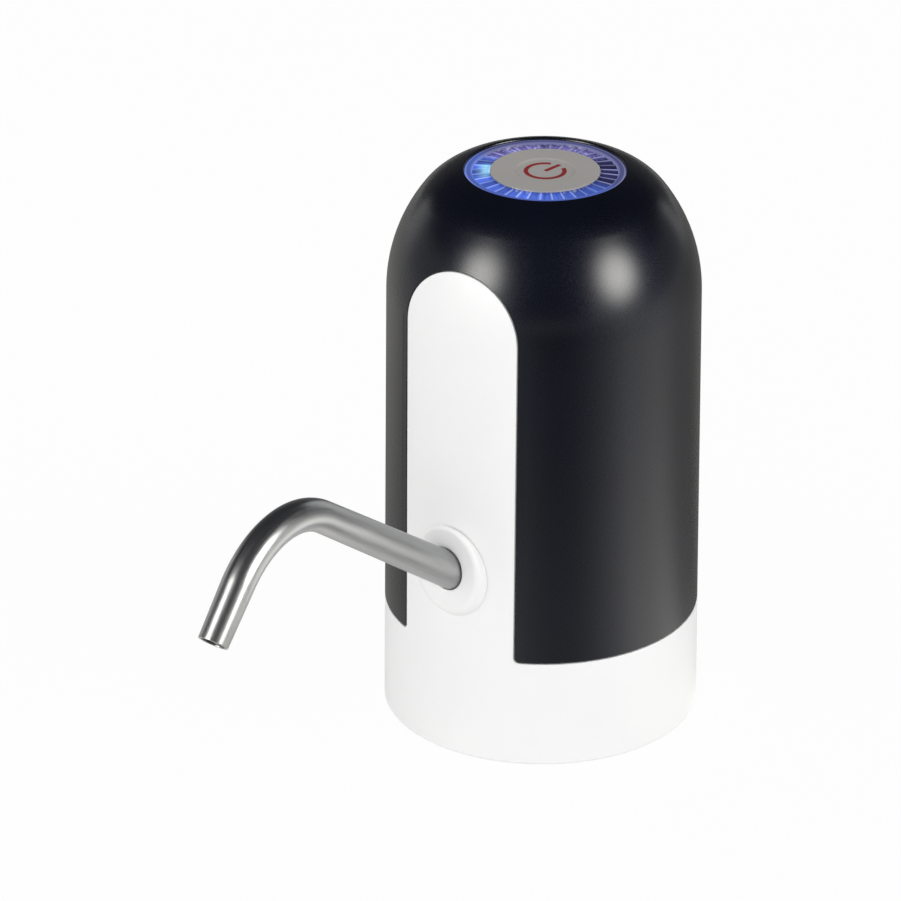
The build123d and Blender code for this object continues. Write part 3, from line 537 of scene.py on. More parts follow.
def grained(add, tint, dark, cloud, grain, roughness, swing, bump):
    """Sockets of a surface whose colour follows a cloud, and whose gloss and relief follow a grain."""
    ramp = add("ShaderNodeValToRGB", {"Fac": cloud})
    low, full = ramp.color_ramp.elements
    low.position, full.position = 0.3, 0.7
    low.color = (*[share * dark for share in tint], 1)
    full.color = (*tint, 1)
    rough = add(
        "ShaderNodeMapRange",
        {"Value": grain, "To Min": roughness * (1 - swing), "To Max": roughness * (1 + swing)},
    )
    relief = add("ShaderNodeBump", {"Height": grain, "Strength": bump, "Distance": RELIEF})
    return {"Base Color": ramp, "Roughness": rough, "Normal": relief}


def moulded(name, tint, roughness, grain, bump, spread, level):
    """A moulded plastic: one colour with a faint cloud in it, and a fine grain left by the mould.

    The grain is given in millimetres. It is kept coarse enough to show in the render.
    """
    cloud_width = 18 * MM
    material, add, place = start_material(name)
    cloud = add("ShaderNodeTexNoise", {"Vector": place, "Scale": 1 / cloud_width, "Detail": 2.0})
    fine = add("ShaderNodeTexNoise", {"Vector": place, "Scale": 1 / (grain * MM), "Detail": 2.0})
    sockets = grained(add, tint, 1 - spread, cloud, fine, roughness, swing=0.1, bump=bump)
    sockets.update({"Specular IOR Level": level, "IOR": 1.5})
    shader = add("ShaderNodeBsdfPrincipled", sockets)
    return end_material(material, shader, tint)


def drawn_metal(name, tint, roughness, streak, root=1.0):
    """A drawn or rolled metal: fine streaks along one direction that change its gloss and its brightness.

    The streak's width is given in millimetres. The spout's straight run is duller than its bend, which the
    bending tool has polished: root multiplies the roughness of the straight run.
    """
    repeat, streak_shade = (1.0, 0.02, 0.02), 0.82
    # Along Y, the tube is polished beyond the first place and dull from the second to the wall.
    polished, dull = -96 * MM, -70 * MM
    material, add, place = start_material(name)
    scale = [share / (streak * MM) for share in repeat]
    stretch = add("ShaderNodeMapping", {"Vector": place, "Scale": scale})
    lines = add("ShaderNodeTexNoise", {"Vector": stretch, "Scale": 1.0, "Detail": 4.0})
    sockets = grained(add, tint, streak_shade, lines, lines, roughness, swing=0.3, bump=0.06)
    axes = add("ShaderNodeSeparateXYZ", {"Vector": place})
    worn = add(
        "ShaderNodeMapRange",
        {"Value": axes.outputs["Y"], "From Min": polished, "From Max": dull, "To Min": 1.0, "To Max": root},
    )
    rough = add("ShaderNodeMath", {0: sockets["Roughness"], 1: worn}, operation="MULTIPLY")
    sockets.update({"Roughness": rough, "Metallic": 1.0})
    shader = add("ShaderNodeBsdfPrincipled", sockets)
    return end_material(material, shader, tint)


def lit_acrylic(name, top, hues):
    """Clear acrylic over lamps, its light painted in as glow: blue glow is painted on the flutes in front,
    and those behind are painted dark.

    Painted highlights on the ridges part the flutes, and the flutes at the back get a painted reflection. One
    lamp's painted glow is a pale spot beside the button. The smooth rim has a painted highlight line on both
    edges.
    a pale line on both edges.
    """
    glint_width = 0.8 * MM
    spot_end, spot_full = top.ring_inner + 3.6 * MM, top.ring_inner + 0.8 * MM
    lip_end, shade_start = top.ring_inner + 0.9 * MM, top.ring_inner + 1.5 * MM
    rim_start = top.ring_radius - top.rim_width
    band_end = rim_start - 0.1 * MM
    material, add, place = start_material(name)
    axes = add("ShaderNodeSeparateXYZ", {"Vector": place})
    turn = add("ShaderNodeMath", {0: axes.outputs["Y"], 1: axes.outputs["X"]}, operation="ARCTAN2")
    flat = add("ShaderNodeVectorMath", {0: place, 1: (1, 1, 0)}, operation="MULTIPLY")
    reach = add("ShaderNodeVectorMath", {0: flat}, operation="LENGTH").outputs["Value"]
    shares = {}
    for label, degrees, low, high in RING_LIGHTS:
        shift = add("ShaderNodeMath", {0: turn, 1: math.radians(degrees)}, operation="SUBTRACT")
        swing = add("ShaderNodeMath", {0: shift}, operation="COSINE")
        shares[label] = add(
            "ShaderNodeMapRange", {"Value": swing, "From Min": low, "From Max": high},
            interpolation_type="SMOOTHSTEP",
        )
    # Each flute has a ridge on both sides with a painted highlight, and painted glints of the studio light
    # lie on the flutes at the back.
    count = add("ShaderNodeMath", {0: turn, 1: top.flutes / (2 * math.pi)}, operation="MULTIPLY")
    saw = add("ShaderNodeMath", {0: count}, operation="FRACT")
    which = add("ShaderNodeMath", {0: count}, operation="FLOOR")
    chance = add("ShaderNodeTexWhiteNoise", {"W": which}, noise_dimensions="1D")
    middle = add("ShaderNodeMath", {0: saw, 1: 0.5}, operation="SUBTRACT")
    aside = add("ShaderNodeMath", {0: middle}, operation="ABSOLUTE")
    ridge = add(
        "ShaderNodeMapRange", {"Value": aside, "From Min": 0.34, "From Max": 0.5, "To Max": 0.9},
        interpolation_type="SMOOTHSTEP",
    )
    # Painted glints: specks of studio light on the flutes at the back
    glint = add("ShaderNodeTexNoise", {"Vector": place, "Scale": 1 / glint_width, "Detail": 2.0})
    glint = add(
        "ShaderNodeMapRange", {"Value": glint, "From Min": 0.5, "From Max": 0.68},
        interpolation_type="SMOOTHSTEP",
    )
    glint = add("ShaderNodeMath", {0: glint, 1: shares["back"]}, operation="MULTIPLY")
    shares["crest"] = add("ShaderNodeMath", {0: ridge, 1: glint}, operation="MAXIMUM")
    # Painted glow of one lamp: a pale spot near the button, full at the ring's inner edge
    near = add(
        "ShaderNodeMapRange", {"Value": reach, "From Min": spot_end, "From Max": spot_full},
        interpolation_type="SMOOTHSTEP",
    )
    shares["lamp"] = add("ShaderNodeMath", {0: shares["spot"], 1: near}, operation="MULTIPLY")
    # Painted highlights: a pale line on both edges of the smooth rim, darker between them
    across = add(
        "ShaderNodeMapRange",
        {"Value": reach, "From Min": rim_start, "From Max": top.ring_radius},
    )
    lines = add("ShaderNodeValToRGB", {"Fac": across})
    lines.color_ramp.elements[0].color = lines.color_ramp.elements[1].color = (0.55, 0.55, 0.55, 1)
    for where, level in ((0.12, 0.35), (0.3, 0.05), (0.72, 0.1), (0.9, 0.8)):
        lines.color_ramp.elements.new(where).color = (level, level, level, 1)
    shares["edges"] = lines
    inside = add("ShaderNodeMath", {0: reach, 1: band_end}, operation="LESS_THAN")
    shares["inside"] = inside
    tones = {hue: (*getattr(hues, hue), 1) for hue in PumpColours.__annotations__}
    for label, share, low, high in RING_TONES:
        sockets = {0: shares[share], 6: tones[low], 7: tones[high]}
        tones[label] = add("ShaderNodeMix", sockets, data_type="RGBA").outputs[2]
    vary = add("ShaderNodeMapRange", {"Value": chance.outputs["Value"], "To Min": 0.55, "To Max": 1.2})
    # Painted streaks in the glow along each flute, about four to a flute.
    fine = add("ShaderNodeMath", {0: count, 1: 4.0}, operation="MULTIPLY")
    streak = add("ShaderNodeTexNoise", {"W": fine, "Scale": 1.0, "Detail": 1.0}, noise_dimensions="1D")
    streak = add(
        "ShaderNodeMapRange",
        {"Value": streak, "From Min": 0.3, "From Max": 0.7, "To Min": 0.75, "To Max": 1.3},
    )
    # Painted shade: the glow darkens towards the button, and on the flutes at the back towards the rim.
    lip = add(
        "ShaderNodeMapRange",
        {"Value": reach, "From Min": top.ring_inner, "From Max": lip_end, "To Min": 0.6},
    )
    outer = add("ShaderNodeMapRange", {"Value": reach, "From Min": shade_start, "From Max": rim_start})
    outer = add("ShaderNodeMath", {0: outer, 1: shares["back"]}, operation="MULTIPLY")
    outer = add("ShaderNodeMapRange", {"Value": outer, "To Min": 1.0, "To Max": 0.5})
    for shade in (streak, lip, outer):
        vary = add("ShaderNodeMath", {0: vary, 1: shade}, operation="MULTIPLY")
    # Strength of the painted glow: the rim's is lower in front, and it is never below the lamp's painted spot
    dim = add("ShaderNodeMapRange", {"Value": shares["front"], "To Min": 0.8, "To Max": 0.7})
    shine = add("ShaderNodeMix", {0: inside, 2: dim, 3: vary}, data_type="FLOAT").outputs[0]
    shine = add("ShaderNodeMath", {0: shine, 1: shares["lamp"]}, operation="MAXIMUM")
    shader = add(
        "ShaderNodeBsdfPrincipled",
        {
            "Base Color": (0.01, 0.012, 0.03, 1), "Roughness": 0.2, "IOR": 1.49, "Specular IOR Level": 0.12,
            "Emission Color": tones["paint"], "Emission Strength": shine,
        },
    )
    return end_material(material, shader, hues.glow)


def dress(piece, slot, body, *nodes, finish=None):
    """Gives a new piece a finish and the body that it moves with, and hides the CAD nodes that it replaces.
    """
    piece.data.materials.clear()
    piece.data.materials.append(finish or finish_of(slot, bpy.context.scene.pump_colours))
    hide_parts(*nodes)
    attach(piece, body)


def finish_of(slot, hues):
    """The material of a slot, made the first time that it is asked for."""
    # Each row holds a name, colour, roughness, grain in mm, relief, depth of the cloud and gloss.
    plastics = {
        # Lightly etched mould: nearly black, with soft wide highlights
        "black_shell": ("satin_black_abs", hues.shell, 0.27, 0.25, 0.04, 0.3, 0.35),
        # Satin mould: clean white, with highlights too wide and faint to show
        "white_body": ("white_satin_abs", hues.body, 0.52, 0.3, 0.02, 0.015, 0.2),
        # Moulded silicone: milky, soft and dull
        "clear_silicone": ("milky_silicone", linear("#dfe3e2"), 0.55, 0.4, 0.05, 0.06, 0.4),
        # Moulded rubber: dull black
        "black_rubber": ("black_nitrile_rubber", linear("#17171a"), 0.7, 0.3, 0.15, 0.2, 0.4),
        # Sprayed paint: even silver grey with a satin sheen
        "grey_button": ("silver_grey_paint", hues.button, 0.42, 0.18, 0.06, 0.05, 0.5),
        # Moulded nylon: black and half matt
        "black_plastic": ("black_nylon", linear("#16171a"), 0.5, 0.3, 0.1, 0.2, 0.45),
        # Lacquered board: glossy green
        "circuit_board": ("green_board_lacquer", linear("#0e5a2c"), 0.35, 0.5, 0.1, 0.25, 0.5),
        # Cast lamp package: smooth pale yellow
        "light_package": ("white_lamp_package", linear("#f1eccb"), 0.4, 0.3, 0.03, 0.05, 0.5),
        # Moulded acetal: plain grey and waxy
        "pump_plastic": ("grey_acetal_moulding", linear("#515356"), 0.45, 0.3, 0.08, 0.12, 0.45),
        # Natural acetal: creamy and waxy
        "gear_plastic": ("natural_acetal", linear("#e6e1d3"), 0.4, 0.3, 0.05, 0.05, 0.5),
        # Shrink sleeve: glossy blue
        "cell_wrap": ("blue_shrink_sleeve", linear("#1c4a94"), 0.25, 0.6, 0.05, 0.1, 0.5),
        # Polished acrylic: glossy, with the blue of its lamps painted into its colour
        "clear_ring": ("clear_acrylic", hues.rim, 0.12, 0.5, 0.02, 0.1, 0.5),
        # Pad print: flat red film
        "sign_print": ("red_pad_print", hues.sign, 0.45, 0.2, 0.05, 0.15, 0.4),
    }
    # Each row holds a name, colour, roughness, streak in mm, and how dull the spout's straight run is.
    metals = {
        # Drawn stainless tube: grey, with fine lengthwise lines
        "steel_tube": ("drawn_stainless", hues.steel, 0.3, 0.35, 1.6),
        # Plated steel: brighter, with tighter lines
        "bright_steel": ("plated_steel", linear("#d3d3d1"), 0.22, 0.3),
        # Rolled brass: warm and plain
        "brass_tag": ("plain_brass", linear("#d9b566"), 0.3, 0.3),
        # Zinc plating: pale grey with a soft gloss
        "screw_steel": ("zinc_plated_steel", linear("#bcbcb8"), 0.3, 0.2),
    }
    name = (plastics.get(slot) or metals[slot])[0]
    if name in bpy.data.materials:
        return bpy.data.materials[name]
    return moulded(*plastics[slot]) if slot in plastics else drawn_metal(*metals[slot])


class PUMP_OT_shell(bpy.types.Operator):
    """Models the black shell with its arched window and charging slot"""

    bl_idname = "pump.shell"
    bl_label = "Black shell"

    def execute(self, context):
        form = context.scene.pump_form
        low = form.shell_edge
        outline = [(wall_radius(form, low), low), *side_arc(form, 0), *shoulder_arc(form, 0)[1:]]
        inside = [*side_arc(form, form.shell_wall), *shoulder_arc(form, form.shell_wall)[1:]]
        outline += [*reversed(inside), (wall_radius(form, low, form.shell_wall), low), outline[0]]
        shell = turned("black_shell", outline, form.steps)
        pattern = pattern_of(shell)
        carve(shell, arch(form, 0))
        carve(shell, port_slot(form))
        choose(shell, lambda place: beside_window(form, place))
        bpy.ops.mesh.dissolve_verts()
        tidy(shell, merge=CUT_DOUBLES)
        top = form.window_apex + RIM_START

        def at_edge(place):
            """Whether a place lies on the window's edge or the shell's lower edge. The slot stays sharp."""
            low = place.z < form.shell_edge + MM
            return on_form(form, place) and place.z < top and (place.y < 0 or low)

        soften(shell, form.edge, at_edge)
        soften(shell, form.rim_edge, lambda place: on_form(form, place) and place.z > top)
        take_shading(shell, pattern, lambda place: on_form(form, place))
        dress(shell, "black_shell", "base", "outer_shell")
        return {"FINISHED"}


class PUMP_OT_body(bpy.types.Operator):
    """Models the white body: base ring, window panel and the sleeve inside the shell"""

    bl_idname = "pump.body"
    bl_label = "White body"

    def execute(self, context):
        form, spout = context.scene.pump_form, context.scene.pump_spout
        edge = form.base_edge
        foot = arc((wall_radius(form, edge) - edge, edge), edge, -RIGHT_ANGLE, form.draft, steps=6)
        side = [p for p in side_arc(form, 0, steps=28) if p[1] < form.body_top]
        inside = [p for p in side_arc(form, form.bore_inset, steps=28) if p[1] < form.body_top]
        bottom = (wall_radius(form, 0, form.bore_inset), 0)
        levels = (spout.height - COLLAR_FIELD, spout.height + COLLAR_FIELD)
        rows = [(wall_radius(form, level), level) for level in levels]
        outline = [bottom, *foot, *rows, *side, *reversed(inside), bottom]
        body = turned("white_body", outline, form.steps)
        pattern = pattern_of(body)
        low = form.shell_edge - form.seam
        outer = side_arc(form, -MM)
        inner = side_arc(form, form.sleeve_inset)
        start = (wall_radius(form, low, -MM), low)
        room = [start, *outer, *reversed(inner), (wall_radius(form, low, form.sleeve_inset), low), start]
        room = turned("shell_room", room, form.steps)
        carve(room, arch(form, form.seam))
        carve(body, room)
        carve(body, port_slot(form))
        settle()
        bpy.ops.mesh.primitive_cylinder_add(
            vertices=64, radius=spout.socket_radius, depth=HOLE_DEPTH,
            location=(0, -spout.anchor, spout.height), rotation=(RIGHT_ANGLE - spout.tilt, 0, 0),
        )
        carve(body, bpy.context.object)
        tidy(body, outward=False, merge=CUT_DOUBLES)

        def at_seam(place):
            """Whether a place lies on the form and away from the base's edge and the collar's hole."""
            hole = math.hypot(place.x, place.z - spout.height) < COLLAR_FIELD and place.y < 0
            return on_form(form, place) and place.z > form.base_edge + MM and not hole

        soften(body, form.edge / 2, at_seam)
        take_shading(body, pattern, lambda place: on_form(form, place))
        dress(body, "white_body", "base", "body_housing")
        return {"FINISHED"}


class PUMP_OT_collar(bpy.types.Operator):
    """Models the collar that carries the spout"""

    bl_idname = "pump.collar"
    bl_label = "Spout collar"

    def execute(self, context):
        form, spout = context.scene.pump_form, context.scene.pump_spout
        radius, bore, front = spout.collar_radius, spout.collar_bore, spout.anchor + spout.collar_rise
        low, high = -BLANK_BACK, BLANK_FRONT
        groove = (bore + spout.seal_width, low)
        outline = [groove, (groove[0], -spout.seal_depth), (bore, -spout.seal_depth)]
        outline += [(bore, high), (radius, high), (radius, low), groove]
        collar = turned("spout_boss", outline, steps=96)
        set_on_wall(collar, spout)
        choose(collar, lambda place: True)
        bpy.ops.mesh.bisect(plane_co=(0, -front, 0), plane_no=(0, -1, 0), clear_outer=True)
        choose(collar, lambda place: place.y < -front + LEVEL)
        bpy.ops.mesh.select_mode(type="EDGE")
        bpy.ops.mesh.bridge_edge_loops()
        tidy(collar)
        gap = spout.collar_gap
        low, high = spout.height - CORE_HALF, spout.height + CORE_HALF
        side = [(wall_radius(form, level, -gap), level) for level in (low, high)]
        core = [(0, low), *side, (0, high)]
        carve(collar, turned("body_core", core, form.steps))
        tidy(collar, merge=LEVEL)

        def at_mouth(place):
            """Whether a place on the front lies nearer to the bore than to the outer edge."""
            centre = spout.height + spout.collar_rise * math.tan(spout.tilt)
            across = (place.z - centre) * math.cos(spout.tilt)
            return math.hypot(place.x, across) < (bore + radius) / 2

        def at_front(place):
            """Whether a place lies on the collar's flat front."""
            return place.y < -front + LEVEL

        soften(collar, spout.collar_edge, lambda place: at_front(place) and not at_mouth(place), segments=8)
        soften(collar, spout.mouth_edge, lambda place: at_front(place) and at_mouth(place), segments=4)
        dress(collar, "white_body", "base", "spout_collar")
        return {"FINISHED"}


class PUMP_OT_spout(bpy.types.Operator):
    """Models the bent steel tube"""

    bl_idname = "pump.spout"
    bl_label = "Steel spout"

    def execute(self, context):
        spout = context.scene.pump_spout
        settle()
        bpy.ops.mesh.primitive_circle_add(
            vertices=64, radius=spout.root_radius, location=(0, 0, -spout.insert)
        )
        tube = started("steel_spout")
        bpy.ops.object.mode_set(mode="EDIT")
        bpy.ops.mesh.select_all(action="SELECT")
        extrude((0, 0, spout.insert + spout.root_run))
        extrude((0, 0, spout.straight - spout.root_run))
        share = spout.bend_tube_radius / spout.root_radius
        bpy.ops.transform.resize(value=(share, share, 1), center_override=(0, 0, spout.straight))
        hub = Vector((0, -spout.bend_radius, spout.straight))
        bpy.ops.mesh.spin(steps=32, angle=-spout.bend_angle, center=hub, axis=(1, 0, 0))
        turn = spout.bend_angle
        out = Vector((0, -math.sin(turn), math.cos(turn)))
        end = hub + spout.bend_radius * Vector((0, math.cos(turn), math.sin(turn))) + out * spout.leg
        extrude(out * spout.leg)
        share = spout.tip_radius / spout.bend_tube_radius
        bpy.ops.transform.resize(value=(share, share, share), center_override=end)
        tidy(tube)
        finish_modifier(tube, "SOLIDIFY", thickness=spout.wall, offset=-1)
        set_on_wall(tube, spout)
        soften(tube, spout.lip, lambda place: True, limit=60.0)
        dress(tube, "steel_tube", "spout", "spout_tube")
        return {"FINISHED"}


class PUMP_OT_light_ring(bpy.types.Operator):
    """Models the clear ring with its flutes and smooth rim"""

    bl_idname = "pump.light_ring"
    bl_label = "Light ring"

    def execute(self, context):
        top = context.scene.pump_top
        rim = top.ring_radius - top.rim_width
        floor = top.ring_top - top.rim_height
        start, end = top.ring_inner + top.flute_margin, rim - top.flute_margin
        edge = top.rim_edge

        def surface(reach):
            """Height of the band between the button and the rim."""
            return floor + top.band_slope * (rim - reach) / (rim - top.ring_inner)

        outline = [(top.ring_inner, top.ring_low)]
        outline += [(reach, surface(reach)) for reach in (top.ring_inner, start, end, rim)]
        outline += arc((rim + edge, top.ring_top - edge), edge, math.pi, RIGHT_ANGLE, steps=5)
        outline += arc((top.ring_radius - edge, top.ring_top - edge), edge, RIGHT_ANGLE, 0, steps=5)
        outline += [(top.ring_radius, top.ring_low), outline[0]]
        ring = turned("light_ring_lens", outline, 4 * top.flutes)
        pitch = 2 * math.pi / top.flutes
        for share, depth in ((0.5, 1.0), (0.25, 0.5), (0.75, 0.5)):
            def in_flute(place):
                """Whether a place lies on the line of the flutes that is now lowered."""
                reach = math.hypot(place.x, place.y)
                step = (math.atan2(place.y, place.x) / pitch - share) % 1
                flat = abs(place.z - surface(reach)) < LEVEL
                within = start - LEVEL < reach < end + LEVEL
                return flat and within and min(step, 1 - step) < 0.05
            choose(ring, in_flute)
            bpy.ops.transform.translate(value=(0, 0, -depth * top.flute_depth))
        settle()
        smooth(ring, limit=20.0)
        # The ring's material paints the lamps' glow into it, with painted shade, a painted reflection and
        # painted highlights.
        glow = lit_acrylic("lit_clear_acrylic", top, context.scene.pump_colours)
        dress(ring, "clear_ring", "base", "light_ring", finish=glow)
        return {"FINISHED"}


def printed_sign(top, floor):
    """The power sign as a thin film on the floor of the button's dish: an open ring and a bar."""
    half = top.sign_stroke / 2
    middle = top.sign_radius - half
    settle()
    bpy.ops.mesh.primitive_plane_add(
        size=2 * half, location=(middle, 0, floor), rotation=(RIGHT_ANGLE, 0, 0)
    )
    sign = started("power_sign")
    bpy.ops.object.mode_set(mode="EDIT")
    bpy.ops.mesh.select_all(action="SELECT")
    bpy.ops.transform.resize(
        value=(1, 1, top.sign_film / half), center_override=(middle, 0, floor), orient_type="GLOBAL"
    )
    bpy.ops.mesh.spin(steps=64, angle=-2 * (math.pi - top.sign_gap), center=(0, 0, 0), axis=(0, 0, 1))
    tidy(sign, outward=False)
    open_piece(sign)
    sign.rotation_euler = (0, 0, top.sign_turn + top.sign_gap)
    fix_place()
    settle()
    bpy.ops.mesh.primitive_cube_add(size=1, location=(0, 0, 0))
    bar = bpy.context.object
    bar.scale = (top.sign_radius, top.sign_stroke, 2 * top.sign_film)
    bar.location = (top.sign_radius / 2, 0, floor)
    fix_place()
    bar.rotation_euler = (0, 0, top.sign_turn)
    fix_place()
    settle()
    bar.select_set(True)
    sign.select_set(True)
    bpy.context.view_layer.objects.active = sign
    bpy.ops.object.join()
    tidy(sign)
    smooth(sign, limit=30.0)
    return sign


class PUMP_OT_button(bpy.types.Operator):
    """Models the round button with its dish and printed power sign"""

    bl_idname = "pump.button"
    bl_label = "Button"

    def execute(self, context):
        top = context.scene.pump_top
        high, edge = top.button_top, top.button_edge
        floor = high - top.dish_depth
        outline = [(0, floor), (top.dish_radius - top.dish_slope, floor), (top.dish_radius, high)]
        outline += arc((top.button_radius - edge, high - edge), edge, RIGHT_ANGLE, 0, steps=6)
        outline += [(top.button_radius, top.button_low), (0, top.button_low)]
        button = turned("round_button", outline, steps=144)
        smooth(button, limit=30.0)
        dress(button, "grey_button", "button", "power_button")
        sign = printed_sign(top, floor)
        sign.data.materials.clear()
        sign.data.materials.append(finish_of("sign_print", context.scene.pump_colours))
        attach(sign, "button")
        return {"FINISHED"}


class PUMP_OT_cad_finishes(bpy.types.Operator):
    """Gives every piece that stays as the CAD model has it a finish of its own"""

    bl_idname = "pump.cad_finishes"
    bl_label = "Socket and inner pieces"

    def execute(self, context):
        for part in frame["record"]["subparts"]:
            node = frame["nodes"][part["node"]]
            node.data.materials.clear()
            node.data.materials.append(finish_of(part["material_slot"], context.scene.pump_colours))
        return {"FINISHED"}


def towards(stage, swing, height, distance):
    """A place round the pump, at angles to the right of the camera and above the horizon, in degrees."""
    turn = stage.azimuth + math.radians(swing)
    level = math.radians(height)
    out = Vector((math.sin(turn) * math.cos(level), -math.cos(turn) * math.cos(level), math.sin(level)))
    return Vector((0, 0, stage.middle)) + out * distance


def reflected(board, name):
    """Hides a card from everything except reflections."""
    board.name = name
    board.visible_camera = board.visible_diffuse = board.visible_shadow = False
    board.visible_transmission = False


def card(stage, name, place, width, tall, tint, power, soft):
    """A card turned towards the pump, soft ones fading from their middle to their edge."""
    settle()
    bpy.ops.mesh.primitive_plane_add(size=1, location=place)
    board = bpy.context.object
    board.scale = (width, tall, 1)
    board.rotation_mode = "QUATERNION"
    board.rotation_quaternion = (Vector((0, 0, stage.middle)) - place).to_track_quat("Z", "Y")
    material, add, spread = start_material(name + "_cloth")
    if soft:
        reach = add("ShaderNodeVectorMath", {0: spread}, operation="LENGTH").outputs["Value"]
        power = add(
            "ShaderNodeMapRange",
            {"Value": reach, "From Min": 0.5, "From Max": 0.1, "To Min": 0.0, "To Max": power},
            interpolation_type="SMOOTHSTEP",
        )
    cloth = add("ShaderNodeEmission", {"Color": (*tint, 1), "Strength": power})
    if soft:
        clear = add("ShaderNodeBsdfTransparent")
        share = add("ShaderNodeMath", {0: reach, 1: 0.5}, operation="LESS_THAN")
        cloth = add("ShaderNodeMixShader", {0: share, 1: clear, 2: cloth})
    board.data.materials.append(end_material(material, cloth, tint))
    reflected(board, name)


def hang_cards(stage):
    """Dark cloths that the pump mirrors, and the two soft boxes that make its long highlights."""
    ceiling, white = 0.55, (1, 1, 1)
    above = Vector((0, 0, stage.middle + ceiling))
    # Name, place, width and height in metres, colour, brightness, and whether the card fades to its edge
    rows = (
        ("ceiling_flag", above, 4.0, 4.0, stage.flag, 1.0, False),
        ("front_flag", towards(stage, 5, 4, 1.6), 1.75, 1.4, stage.flag, 1.0, False),
        ("right_box", towards(stage, 58, 21.5, 0.8), 0.58, 0.62, stage.warm, stage.right_box, True),
        ("left_box", towards(stage, -50, 23, 0.8), 0.56, 0.62, stage.warm, stage.left_box, True),
        ("right_flag", towards(stage, 105, 6, 1.3), 1.3, 0.5, white, 0.3, False),
        ("left_flag", towards(stage, -95, 6, 1.3), 1.3, 0.5, white, 0.5, False),
        ("back_flag", towards(stage, 180, 6, 1.4), 2.2, 1.0, white, 0.13, False),
    )
    for row in rows:
        card(stage, *row)


def lay_floor(stage):
    """Plain matt white paper that keeps the pump's shadow. The camera sees it nearly pure white."""
    room, drop = 12, 0.1 * MM
    cloud_width, white_share = 0.25, 0.94
    settle()
    bpy.ops.mesh.primitive_plane_add(size=room, location=(0, 0, -drop))
    floor = bpy.context.object
    floor.name = "studio_floor"
    material, add, place = start_material("matt_white_paper")
    cloud = add("ShaderNodeTexNoise", {"Vector": place, "Scale": 1 / cloud_width})
    shade = add("ShaderNodeMapRange", {"Value": cloud, "To Min": 0.88, "To Max": 0.92})
    paper = add("ShaderNodeBsdfDiffuse", {"Color": shade})
    white = add("ShaderNodeEmission", {"Color": (*stage.floor, 1), "Strength": 1.0})
    path = add("ShaderNodeLightPath")
    seen = add("ShaderNodeMath", {0: path.outputs["Is Camera Ray"], 1: white_share}, operation="MULTIPLY")
    mixed = add("ShaderNodeMixShader", {0: seen, 1: paper, 2: white})
    floor.data.materials.append(end_material(material, mixed, stage.floor))


def lay_sheet(stage):
    """A sheet just above the floor that only reflections show, lighter on some sides than on others."""
    width, lift = 1.6, 0.5 * MM
    near_end, far_start = 0.09, 0.25
    settle()
    bpy.ops.mesh.primitive_plane_add(
        size=width, location=(0, 0, lift), rotation=(0, 0, stage.azimuth - RIGHT_ANGLE)
    )
    sheet = bpy.context.object
    material, add, place = start_material("table_sheet")
    axes = add("ShaderNodeSeparateXYZ", {"Vector": place})
    around = add("ShaderNodeMath", {0: axes.outputs["Y"], 1: axes.outputs["X"]}, operation="ARCTAN2")
    around = add("ShaderNodeMapRange", {"Value": around, "From Min": -math.pi, "From Max": math.pi})
    zones = []
    for zone in (1, 2):
        levels = add("ShaderNodeValToRGB", {"Fac": around})
        ends = levels.color_ramp.elements
        ends[0].color = ends[1].color = (0.15, 0.15, 0.15, 1)
        for row in SHEET_LEVELS:
            ends.new(row[0] / 360 + 0.5).color = (row[zone], row[zone], row[zone], 1)
        zones.append(levels.outputs["Color"])
    reach = add("ShaderNodeVectorMath", {0: place}, operation="LENGTH").outputs["Value"]
    near = add("ShaderNodeMapRange", {"Value": reach, "From Min": far_start, "From Max": near_end})
    level = add("ShaderNodeMix", {0: near, 6: zones[0], 7: zones[1]}, data_type="RGBA").outputs[2]
    cloth = add("ShaderNodeEmission", {"Color": (*stage.warm, 1), "Strength": level})
    sheet.data.materials.append(end_material(material, cloth, (0.5, 0.5, 0.5)))
    reflected(sheet, "table_sheet")


def hang_lamps(scene, stage):
    """A large lamp in front and a smaller one on each side, none of which shows in a reflection."""
    # Name, place, width in metres and power
    rows = (
        ("front_fill", towards(stage, -8, 14, 1.5), 1.2, stage.front_fill),
        ("right_key", towards(stage, 58, 22, 1.2), 0.5, stage.right_key),
        ("left_key", towards(stage, -60, 22, 1.2), 0.5, stage.left_key),
    )
    for name, place, size, power in rows:
        data = bpy.data.lights.new(name, "AREA")
        data.size, data.energy = size, power
        light = bpy.data.objects.new(name, data)
        light.location = place
        light.rotation_mode = "QUATERNION"
        light.rotation_quaternion = (place - Vector((0, 0, stage.middle))).to_track_quat("Z", "Y")
        light.visible_camera = light.visible_glossy = False
        scene.collection.objects.link(light)


def light_room(scene, stage):
    """White all round: pure white where it is seen or mirrored, and of the ambient strength as light."""
    white = (1, 1, 1, 1)
    scene.world = bpy.data.worlds.new("studio_world")
    scene.world.use_nodes = True
    scene.world.node_tree.nodes.clear()
    add = partial(add_node, scene.world.node_tree)
    path = add("ShaderNodeLightPath")
    seen = path.outputs["Is Camera Ray"]
    for ray in ("Is Glossy Ray", "Is Transmission Ray"):
        seen = add("ShaderNodeMath", {0: seen, 1: path.outputs[ray]}, operation="MAXIMUM")
    around = add("ShaderNodeBackground", {"Color": white, "Strength": stage.ambient})
    behind = add("ShaderNodeBackground", {"Color": white, "Strength": 1.0})
    mixed = add("ShaderNodeMixShader", {0: seen, 1: around, 2: behind})
    add("ShaderNodeOutputWorld", {"Surface": mixed})


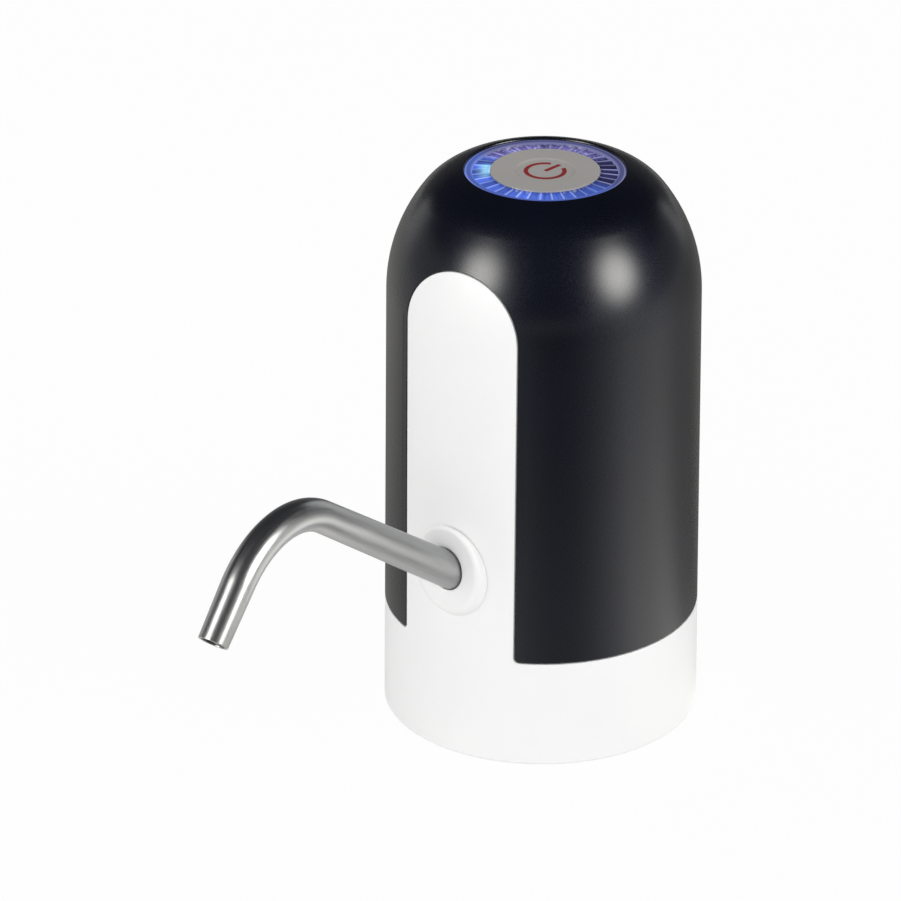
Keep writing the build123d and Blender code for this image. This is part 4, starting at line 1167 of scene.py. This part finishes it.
def set_camera(scene, stage):
    """The camera of the picture, with its lens shift and its slight lean."""
    data = bpy.data.cameras.new("studio_camera")
    data.lens, data.sensor_width = stage.lens, 36
    data.shift_x, data.shift_y = stage.shift
    data.clip_start, data.clip_end = 0.05, 30
    camera = bpy.data.objects.new("studio_camera", data)
    scene.collection.objects.link(camera)
    place = towards(stage, 0, math.degrees(stage.elevation), stage.distance)
    look = (Vector((0, 0, stage.middle)) - place).to_track_quat("-Z", "Y")
    camera.location = place
    camera.rotation_mode = "QUATERNION"
    camera.rotation_quaternion = look @ Quaternion((0, 0, 1), stage.roll)
    scene.camera = camera


class PUMP_OT_stage(bpy.types.Operator):
    """Sets the floor, the light and the camera"""

    bl_idname = "pump.stage"
    bl_label = "Studio"

    def execute(self, context):
        scene, stage = context.scene, context.scene.pump_stage
        scene.view_settings.view_transform = "Standard"
        lay_floor(stage)
        hang_cards(stage)
        lay_sheet(stage)
        hang_lamps(scene, stage)
        light_room(scene, stage)
        set_camera(scene, stage)
        return {"FINISHED"}


class PUMP_PT_sidebar(bpy.types.Panel):
    """Lists the pump's sizes, colours and pieces"""

    bl_label = "Bottle-top pump"
    bl_idname = "PUMP_PT_sidebar"
    bl_space_type = "VIEW_3D"
    bl_region_type = "UI"
    bl_category = "Pump"

    def draw(self, context):
        for name, group in GROUPS.items():
            box = self.layout.box()
            for size in group.__annotations__:
                box.prop(getattr(context.scene, name), size)
        for operator in OPERATORS:
            self.layout.operator(operator.bl_idname)


GROUPS = {
    "pump_form": PumpForm,
    "pump_spout": PumpSpout,
    "pump_top": PumpTop,
    "pump_colours": PumpColours,
    "pump_stage": PumpStage,
}
OPERATORS = (
    PUMP_OT_cad_finishes,
    PUMP_OT_shell,
    PUMP_OT_body,
    PUMP_OT_collar,
    PUMP_OT_spout,
    PUMP_OT_light_ring,
    PUMP_OT_button,
    PUMP_OT_stage,
)


def register():
    """Adds the properties, the operators and the panel."""
    for name, group in GROUPS.items():
        bpy.utils.register_class(group)
        setattr(bpy.types.Scene, name, PointerProperty(type=group))
    for operator in OPERATORS:
        bpy.utils.register_class(operator)
    bpy.utils.register_class(PUMP_PT_sidebar)


def unregister():
    """Takes them out again."""
    bpy.utils.unregister_class(PUMP_PT_sidebar)
    for operator in reversed(OPERATORS):
        bpy.utils.unregister_class(operator)
    for name, group in GROUPS.items():
        delattr(bpy.types.Scene, name)
        bpy.utils.unregister_class(group)


def main():
    """Builds the pump's looks in order."""
    register()
    bpy.ops.pump.cad_finishes()
    bpy.ops.pump.shell()
    bpy.ops.pump.body()
    bpy.ops.pump.collar()
    bpy.ops.pump.spout()
    bpy.ops.pump.light_ring()
    bpy.ops.pump.button()
    bpy.ops.pump.stage()


if __name__ == "__main__":
    main()
